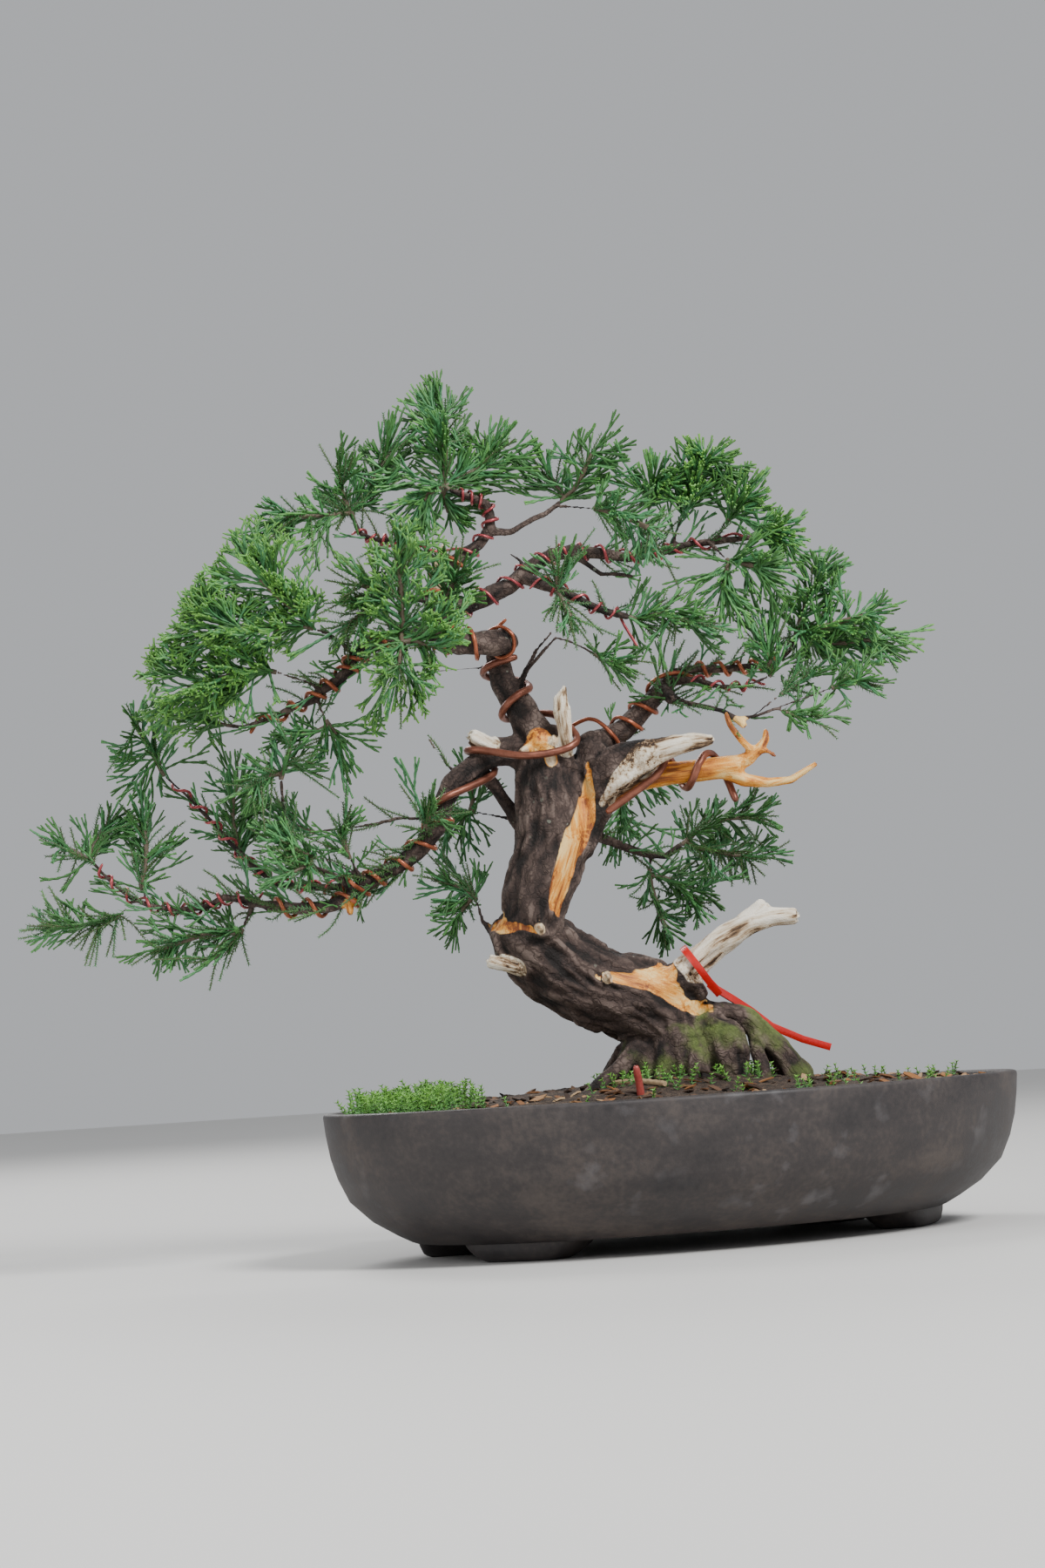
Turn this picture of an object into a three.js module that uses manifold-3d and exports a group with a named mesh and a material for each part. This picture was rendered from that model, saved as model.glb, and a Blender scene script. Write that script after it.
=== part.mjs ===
// A San Jose juniper bonsai in its oval clay pot, in millimetres, +Z up.
// The pot stands level on its four feet, and the tree leans over it as it was wired.
import * as THREE from "three";
import { mergeVertices } from "three/addons/utils/BufferGeometryUtils.js";
import Module from "manifold-3d";

const wasm = await Module();
wasm.setup();
const { Manifold, Mesh } = wasm;

const degrees = Math.PI / 180;

// Driving dimensions of the pot
const potLength = 416;
const potWidth = 312;
const potHeight = 85;
const potTurn = 23 * degrees;
const potShift = 8;
const potSides = 28;
const wallInset = [
  [75, 48],
  [70, 38],
  [62, 25],
  [50, 12.5],
  [25, 3],
  [1.2, 0],
  [0, 1.5],
];
const wallInside = [
  [0, 6.5],
  [1.5, 8],
  [25, 11],
  [50, 23],
  [60, 36],
  [66, 48],
];
const floorThickness = 9;
const footHeight = 10;
const footMiddle = 33 * degrees;
const footHalfSpan = 17.4 * degrees;
const drainHoleOffset = 78;
const drainHoleRadius = 11;
const screenWidth = 34;
const screenThickness = 1.6;

// Driving dimensions of the soil
const soilBelowRim = 4;
const soilMound = 8;
const soilRoughness = 1.6;

// Driving dimensions of wires, tie and shoots
const thickWire = 2.1;
const middleWire = 1.15;
const thinWire = 0.8;
const tieWidth = 4.2;
const tieThickness = 1.3;
const stemRadius = 1.25;
const shootRadius = 0.95;
const shootMiddleRadius = 0.75;
const collarLength = 1.8;
const collarSpacing = 7.5;
const gap = 0.35;

// Where the tree was looked at from: the eye's place in front of the pot's middle, and the tilt that the
// pot had then. Every point of the tree is noted as across, up and behind the pot's middle in that view.
const eyeDistance = 2000;
const eyeAcross = -85;
const eyeUp = 262;
const potRoll = 3.6 * degrees;
const potPitch = 4.2 * degrees;

// The wood, limb by limb: each point is [across, up, behind, radius], and a fifth number flattens the limb.
const limbs = {
  lowerTrunk: {
    sides: 11,
    lump: 0.1,
    points: [
      [17, 64, 8, 15], [14, 84, 8, 19], [7, 108, 6, 24], [-2, 131, 4, 27.5], [-20, 139, 1, 27], [-42, 145, -2, 25.5],
      [-63, 156, -5, 25], [-82, 173, -9, 23], [-91, 187, -12, 16],
    ],
  },
  upperTrunk: {
    sides: 10,
    lump: 0.08,
    points: [
      [-80, 174, -14, 18], [-77, 197, -15, 20], [-73, 212, -13, 21], [-68, 230, -10, 21.5], [-69, 250, -7, 20],
      [-71, 266, -4, 18.5], [-73, 281, -2, 16], [-76, 291, 0, 12],
    ],
  },
  splitTrunk: {
    sides: 7,
    points: [
      [-66, 206, -8, 11], [-55, 228, -6, 12.5], [-46, 246, -4, 12.5], [-42, 264, -2, 13.5], [-44, 280, 0, 12],
      [-48, 291, 1, 8],
    ],
  },
  rootLeft: { sides: 6, points: [[-10, 122, -2, 13], [-21, 107, -6, 9.5], [-25, 96, -8, 7.5], [-27, 82, -10, 6]] },
  rootKnob: { sides: 5, points: [[2, 124, -14, 9], [4.5, 114, -21, 7], [6, 102, -23, 5.5], [7, 84, -23, 4]] },
  burl: { sides: 7, points: [[18, 124, -8, 8], [29, 118, -15, 12.5], [33, 107, -18, 13], [33, 84, -18, 9]] },
  rootRight: {
    sides: 7,
    points: [
      [20, 132, -4, 8], [35, 131, -2, 5.8], [44, 127, -2, 7], [53.5, 117, -2, 7.6], [65, 105.5, -3, 8.2],
      [74, 93, -4, 9.5], [78, 82, -4, 10],
    ],
  },
  rootBackLeft: { sides: 5, points: [[-12, 120, 16, 12], [-26, 104, 33, 9], [-34, 93, 42, 7], [-38, 80, 48, 5.5]] },
  rootBackRight: { sides: 5, points: [[14, 118, 18, 12], [28, 103, 36, 9], [36, 92, 46, 7], [40, 80, 52, 5.5]] },
  leader: {
    sides: 7,
    points: [
      [-76, 283, -2, 13], [-80, 294, 0, 10.6], [-85, 304, 2, 9.2], [-91, 312, 5, 8.4], [-97, 323, 8, 7.8],
      [-99, 334, 10, 7.4], [-96, 342, 8, 7.5], [-94.5, 344, -1, 7.5], [-99, 343, -10, 7.5], [-110, 342.5, -15, 7.4],
      [-122, 343, -17, 7.1], [-131, 347, -15, 6.8], [-136, 355, -11, 6.2],
    ],
  },
  crossing: {
    sides: 5,
    points: [
      [-134, 353, -12, 6.2], [-123, 362, -7, 6], [-108, 368, -4, 5.7], [-92, 376, 0, 5.2], [-81.5, 385.5, 2, 4.8],
      [-68, 393.5, 4, 4.4], [-56.5, 395.5, 6, 4], [-41.5, 394.5, 8, 3.7], [-25, 392, 11, 3.2], [-9.5, 394, 12, 2.9],
      [6, 398.5, 11, 2.6], [24, 401, 8, 2.3], [41, 403, 6, 2], [48.5, 404, 4, 1.6],
    ],
  },
  apexBranch: {
    sides: 5,
    points: [
      [-135, 354, -11, 6], [-137, 365, -7, 5.6], [-134, 375, -4, 6], [-130, 382, -2, 5.6], [-123, 390.5, 0, 4.6],
      [-110, 399.5, 3, 3.9], [-103.5, 409, 4, 3.5], [-103.5, 417, 4, 3.2], [-106, 423, 3, 2.9], [-113, 426, 2, 2.5],
      [-121, 428.5, 0, 2.1], [-127, 431, -1, 1.6],
    ],
  },
  paleStub: { sides: 4, points: [[-134, 373, -6, 3], [-137, 383, -13, 1.9], [-133, 392, -15, 1.8], [-130, 400, -15, 1.7]] },
  apexRight: {
    sides: 5,
    points: [[-104, 407, 4, 3], [-92, 406.5, 6, 2.2], [-79.5, 414, 8, 1.9], [-72, 417, 9, 1.8], [-63, 424, 10, 1.6]],
  },
  upperLeft: {
    sides: 4,
    points: [
      [-130, 384, -2, 4], [-139, 394, -5, 2.6], [-153.5, 396.5, -8, 2.3], [-161, 402, -8, 2.1],
      [-169, 402, -8, 2], [-178, 405.5, -8, 1.8], [-182, 414, -8, 1.5],
    ],
  },
  secondRight: {
    sides: 4,
    points: [[-58, 395, 6, 3], [-49, 389, -5, 2.1], [-40, 382.5, -12, 1.8], [-30, 382.5, -15, 1.6], [-21.5, 381, -17, 1.3]],
  },
  thirdRight: {
    sides: 5,
    points: [
      [-86, 381, 0, 4], [-75, 377, -10, 3.4], [-62, 372.5, -17, 3.1], [-47.5, 365, -22, 2.8], [-37, 361, -22, 2.5],
      [-24, 358, -19, 2.2],
    ],
  },
  middleLeft: {
    sides: 5,
    points: [
      [-131, 348, -16, 6], [-143, 349, -22, 4.7], [-156, 346, -26, 4.3], [-170, 341.5, -29, 4.2], [-181, 336, -32, 4.1],
      [-185, 327, -34, 3.9], [-192, 320.5, -36, 3.6], [-201, 315.5, -38, 3.1], [-206, 310, -38, 2.8],
      [-215, 307, -38, 2.4], [-228, 300, -35, 2], [-245, 294.5, -30, 1.6], [-257, 296, -26, 1.3],
    ],
  },
  fanTwigLow: { sides: 3, points: [[-199, 316, -38, 2.4], [-210, 321, -41, 1.4], [-226, 326, -44, 1.1]] },
  fanTwigHigh: { sides: 3, points: [[-180, 336, -32, 3.2], [-189, 343, -42, 1.8], [-197, 348, -49, 1.5], [-205, 351, -56, 1.2]] },
  leftBranch: {
    sides: 6,
    points: [
      [-76, 276, 0, 13], [-90, 281, -3, 9.6], [-99, 280.5, -6, 8.3], [-108, 275.5, -9, 7.4], [-118, 268.5, -12, 7],
      [-125.5, 261.5, -15, 6.7], [-130, 251, -18, 6.3], [-134, 238, -20, 5.9], [-143, 226, -23, 5.5],
      [-156, 215, -27, 5], [-168, 209.5, -30, 4.7], [-177, 203, -33, 4.5], [-184, 195.5, -37, 4.2],
      [-198, 191.5, -37, 3.8], [-214, 190.5, -36, 3.5], [-232, 192, -34, 3.2],
    ],
  },
  leftBranchEnd: {
    sides: 4,
    points: [
      [-230, 192, -34, 3.1], [-245, 195.5, -31, 3], [-256, 197, -29, 2.7], [-266, 191.5, -27, 2.5],
      [-282, 189.5, -26, 2.2], [-299, 192, -24, 2], [-311, 197.5, -22, 1.7], [-323, 207.5, -18, 1.4],
      [-331, 216.5, -16, 1.2],
    ],
  },
  leftStrut: { sides: 5, points: [[-111, 271, -2, 5], [-101, 261, 4, 4], [-94, 250, 5, 4], [-84, 237, 1, 6]] },
  leftStub: { sides: 5, points: [[-98, 280, -6, 7], [-108, 285, -9, 5.4], [-115.5, 289.5, -11, 4.7]] },
  leftCut: { sides: 4, points: [[-184, 196, -37, 3.2], [-184, 187, -40, 2.5]] },
  branchA: {
    sides: 4,
    points: [
      [-178, 202, -33, 3.4], [-190, 203, -25, 2.9], [-205, 202.5, -17, 2.7], [-225.5, 204.5, -10, 2.4],
      [-241, 215.5, -6, 2.1], [-253.5, 229, -2, 1.9], [-264, 241, 1, 1.6], [-275, 252.5, 4, 1.4], [-290, 266.5, 6, 1.1],
    ],
  },
  branchB: {
    sides: 4,
    points: [
      [-181, 200, -36, 3.2], [-190, 208, -42, 2.4], [-206, 214.5, -46, 2], [-217, 225, -48, 1.8],
      [-221.5, 241, -49, 1.6], [-223.5, 264, -50, 1.2],
    ],
  },
  upperTwig: {
    sides: 4,
    points: [
      [-132, 241, -16, 3], [-140, 242, -6, 1.8], [-156, 242.5, 6, 1.5], [-171, 238.5, 12, 1.4],
      [-188, 236.5, 18, 1.2], [-204, 234.5, 22, 1],
    ],
  },
  rightBranch: {
    sides: 6,
    points: [
      [-50, 268, 0, 10], [-45, 281, 4, 9], [-36, 288, 8, 7.6], [-27, 293, 10, 6.7], [-19, 301.5, 12, 6],
      [-10, 311, 14, 5.6], [-3, 318.5, 16, 5.2], [5, 327, 18, 3.6],
    ],
  },
  rightUpper: {
    sides: 5,
    points: [
      [2, 324, 17, 4], [12, 328, 20, 2.8], [30, 328, 22, 2.5], [46, 329.5, 22, 2.2], [62, 332.5, 20, 1.9],
      [69, 339, 19, 1.7], [71.5, 347, 18, 1.5],
    ],
  },
  rightMiddle: {
    sides: 4,
    points: [[2, 321, 14, 3.4], [14, 322, 9, 2.1], [28, 318, 6, 1.8], [43, 318, 2, 1.5], [56, 323.5, 0, 1.2]],
  },
  rightStub: { sides: 5, points: [[-5, 316, 13, 4.8], [-1, 313, 4, 4.4], [1, 311, -3, 4]] },
  rightLow: {
    sides: 4,
    points: [[-4, 313, 12, 3.6], [8, 308.5, 4, 2.4], [19, 306.5, -3, 2.1], [30, 304, -9, 2.1], [38, 299, -12, 2.6], [43, 295, -14, 2.6]],
  },
  lowTwigOuter: {
    sides: 4,
    points: [[37, 299, -12, 2], [49, 301, -14, 1.3], [66, 307.5, -14, 1.1], [83, 313.5, -12, 1], [92, 317, -10, 0.9]],
  },
  lowTwigInner: { sides: 3, points: [[38, 299, -11, 2], [46, 300, -9, 1.3], [55.5, 307.5, -6, 1.2], [63, 313, -3, 1]] },
  whiteJin: {
    sides: 7,
    points: [
      [-44, 261, -9, 12, 0.8], [-32, 270, -14, 14.5, 0.6], [-20, 276.5, -17, 12, 0.5], [-8, 281, -20, 9, 0.5],
      [4, 284.5, -22, 6.5, 0.55], [15, 286.5, -23, 5, 0.55], [24.5, 287.5, -24, 2.8, 0.6],
    ],
  },
  orangeJin: {
    sides: 7,
    points: [
      [-42, 256, 4, 9], [-30, 260, 1, 8], [-18.5, 264.5, -2, 7], [-1, 268, -5, 6.8], [18.5, 270, -8, 6.8],
      [33, 272, -10, 6.9], [40, 273, -11, 6.2],
    ],
  },
  jinFork: { sides: 5, points: [[35, 272, -10, 6], [45, 277, -12, 4.5], [51, 282.5, -13, 3.5], [55, 288, -14, 2.5], [54.5, 294, -14, 1.6]] },
  jinNub: { sides: 3, points: [[50, 281.5, -13, 2.8], [56, 281, -16, 2], [60.5, 277.5, -17, 1.6]] },
  jinLimb: { sides: 4, points: [[49, 280.5, -13, 3], [43, 284.5, -15, 2.6], [38, 290.5, -17, 2.4], [34, 296, -18, 2.2], [31.5, 303, -18, 1.8]] },
  jinLow: { sides: 5, points: [[33, 269, -10, 5.8], [43, 264, -11, 4.3], [56, 262.8, -12, 3.1], [69, 264.3, -12, 2.5], [84, 274, -12, 1.6]] },
  splitStub: {
    sides: 5,
    points: [
      [-58, 270, -8, 6, 0.7], [-60, 284, -15, 3.8, 0.8], [-61, 294, -17, 4.8, 0.6], [-62.5, 304, -18, 6, 0.5],
      [-63, 311, -18, 4.6, 0.5], [-60.8, 318.5, -17, 1.3, 0.8],
    ],
  },
  knotFront: { sides: 5, points: [[-75, 283, -4, 9], [-75, 288, -14, 7], [-75, 289, -18, 4.5]] },
  knotLeft: { sides: 4, points: [[-77, 285, -9, 5], [-84, 281.5, -18, 3], [-86, 280, -20, 2.3]] },
  knotRight: { sides: 4, points: [[-71, 285, -9, 5], [-69, 278, -18, 3], [-68.5, 275.5, -20, 2.2]] },
  knotBud: { sides: 4, points: [[-67, 286, -6, 4], [-67.5, 287, -18, 2.2]] },
  lowerJin: {
    sides: 7,
    points: [
      [-4, 144, -11, 11], [7, 153, -12, 9], [16, 161, -12, 8], [26, 170, -12, 8], [36, 176.5, -12, 7.3],
      [47, 182, -13, 6.5], [59, 185.5, -14, 5.1], [72.5, 186, -15, 4.4],
    ],
  },
  lowerJinFork: { sides: 5, points: [[42, 182, -12, 6], [49, 187.5, -12, 4.8], [54, 193, -12, 4.2]] },
  lowerJinFoot: { sides: 5, points: [[8, 151, -12, 7.5], [14, 145, -12, 6.5], [18, 138, -8, 6]] },
  elbowStub: { sides: 4, points: [[-74, 177, -28, 3.6], [-75.5, 180, -39, 2.7]] },
  trunkStub: { sides: 4, points: [[-36, 149, -20, 3.6], [-35.5, 152, -31, 2.7]] },
  greyStub: { sides: 5, points: [[-84, 155, -22, 5.5], [-96, 158.5, -25, 4.2], [-104, 160.5, -23, 3.6]] },
  rearTwigUp: { sides: 3, points: [[-84, 238, 4, 5], [-92, 242, 20, 2], [-102, 244, 30, 1.5], [-112, 246, 36, 1.2]] },
  rearTwigLow: { sides: 3, points: [[-99, 175, 0, 6], [-108, 183, 8, 2], [-110, 190, 14, 1.5], [-111.5, 195, 18, 1.2]] },
  rearBranch: {
    sides: 5,
    points: [
      [-50, 236, 6, 8], [-44, 233, 18, 4], [-37, 230, 28, 3.1], [-27, 226, 36, 2.8], [-15, 222, 44, 2.5],
      [-3, 220.5, 50, 2.3], [6, 227, 54, 2],
    ],
  },
  rearTwigDown: { sides: 3, points: [[-11, 221, 46, 2.2], [-12, 214, 46.5, 1.2]] },
  rearTwigTop: { sides: 3, points: [[-30, 290, 10, 5], [-28, 291, 24, 2.3], [-26, 286, 35, 1.7], [-24, 278, 43, 1.3]] },
  leaderTwig: { sides: 3, points: [[-88, 316, 4, 4], [-83, 327, 0, 2.3], [-77, 339, -5, 1.7], [-68, 349.5, -8, 1.2]] },
  leaderTwigLong: {
    sides: 4,
    points: [[-83.5, 327, 0, 2], [-79, 331.5, -6, 1.5], [-73, 338.5, -11, 1.3], [-66, 346, -14, 1.2], [-58, 344, -16, 1.1], [-44, 337, -18, 1]],
  },
  thinTwig: { sides: 3, points: [[-102, 330, 9, 3], [-110, 328.5, 13, 1.3], [-125, 327.5, 16, 1.1], [-141, 325.8, 18, 0.9]] },
  stubTwig: { sides: 3, points: [[-119, 266, -12, 3], [-127.5, 272, -8, 1.5], [-134, 281, -6, 1.2], [-139, 288, -5, 1]] },
  frontTwig: { sides: 3, points: [[-138, 349, -20, 3.6], [-147, 350, -36, 2.3], [-152, 350, -54, 1.9], [-154, 350, -70, 1.5]] },
  frontTwigHigh: { sides: 3, points: [[-136, 366, -9, 4], [-146, 368, -28, 1.8], [-154, 370, -40, 1.5], [-160, 371, -48, 1.2]] },
  frontTwigRight: { sides: 3, points: [[-133, 356, -13, 4], [-130, 364, -30, 1.8], [-128, 370, -44, 1.2]] },
  fanTopTwig: { sides: 3, points: [[1, 397, 11, 2.4], [3, 406, 8, 1.5], [7, 416, 5, 1.2]] },
  fanLowTwig: { sides: 3, points: [[22, 401, 8, 2.2], [28, 395, -4, 1.4], [32, 391, -10, 1.1]] },
  middleTopTwig: { sides: 3, points: [[-18, 392.5, 11.5, 2.8], [-16, 402, 11, 1.6], [-12.5, 420, 6, 1.1]] },
  droopTwig: { sides: 3, points: [[-66, 421.5, 9.5, 1.7], [-54, 421, -4, 1.3], [-44, 420, -14, 1.1]] },
  centreTwig: { sides: 3, points: [[-63, 372.5, -17, 2.8], [-65, 373, -26, 1.5], [-65, 373, -31, 1.2]] },
  crossingTwig: { sides: 3, points: [[-83, 384, 2, 3.6], [-87, 391, 8, 1.5], [-92, 394, 11, 1.2]] },
  needleTwig: { sides: 3, points: [[-307, 195.5, -22.5, 1.8], [-312, 191, -26, 1.2], [-316, 187, -28, 1]] },
  hangingTwig: { sides: 3, points: [[-240, 194, -32, 2.8], [-243, 185, -35, 1.5], [-245.5, 179.5, -36, 1.2]] },
  branchATwig: { sides: 3, points: [[-240, 214.5, -6, 2.2], [-244, 218.5, 0, 1.3], [-246, 222, 4, 1.1]] },
  branchBTwig: { sides: 3, points: [[-176, 204, -33, 3.4], [-181, 214, -42, 1.5], [-184, 219, -46, 1.1]] },
  tuftTwig: { sides: 3, points: [[-140, 230, -23, 3.6], [-141, 234, -31, 1.5], [-141, 237, -34, 1.1]] },
  lowHangTwig: { sides: 3, points: [[-203, 313, -38, 2.6], [-201, 305, -42, 1.3], [-198, 299, -44, 1.1]] },
  rightLowTwig: { sides: 3, points: [[60, 305.2, -14, 1.2], [66, 303, -17, 1]] },
  leftTwigLow: { sides: 3, points: [[-176, 204, -33, 3.2], [-186, 213, -44, 1.5], [-196, 218, -50, 1.2], [-203, 220, -53, 1]] },
  upMiddleTwig: { sides: 3, points: [[24, 401, 8, 2.2], [29, 407, 5, 1.4], [33, 413, 3, 1.1]] },
  risingTwig: { sides: 3, points: [[-297, 191.8, -24, 2], [-301, 196, -19, 1.4], [-303, 201, -15, 1.1]] },
};

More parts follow.
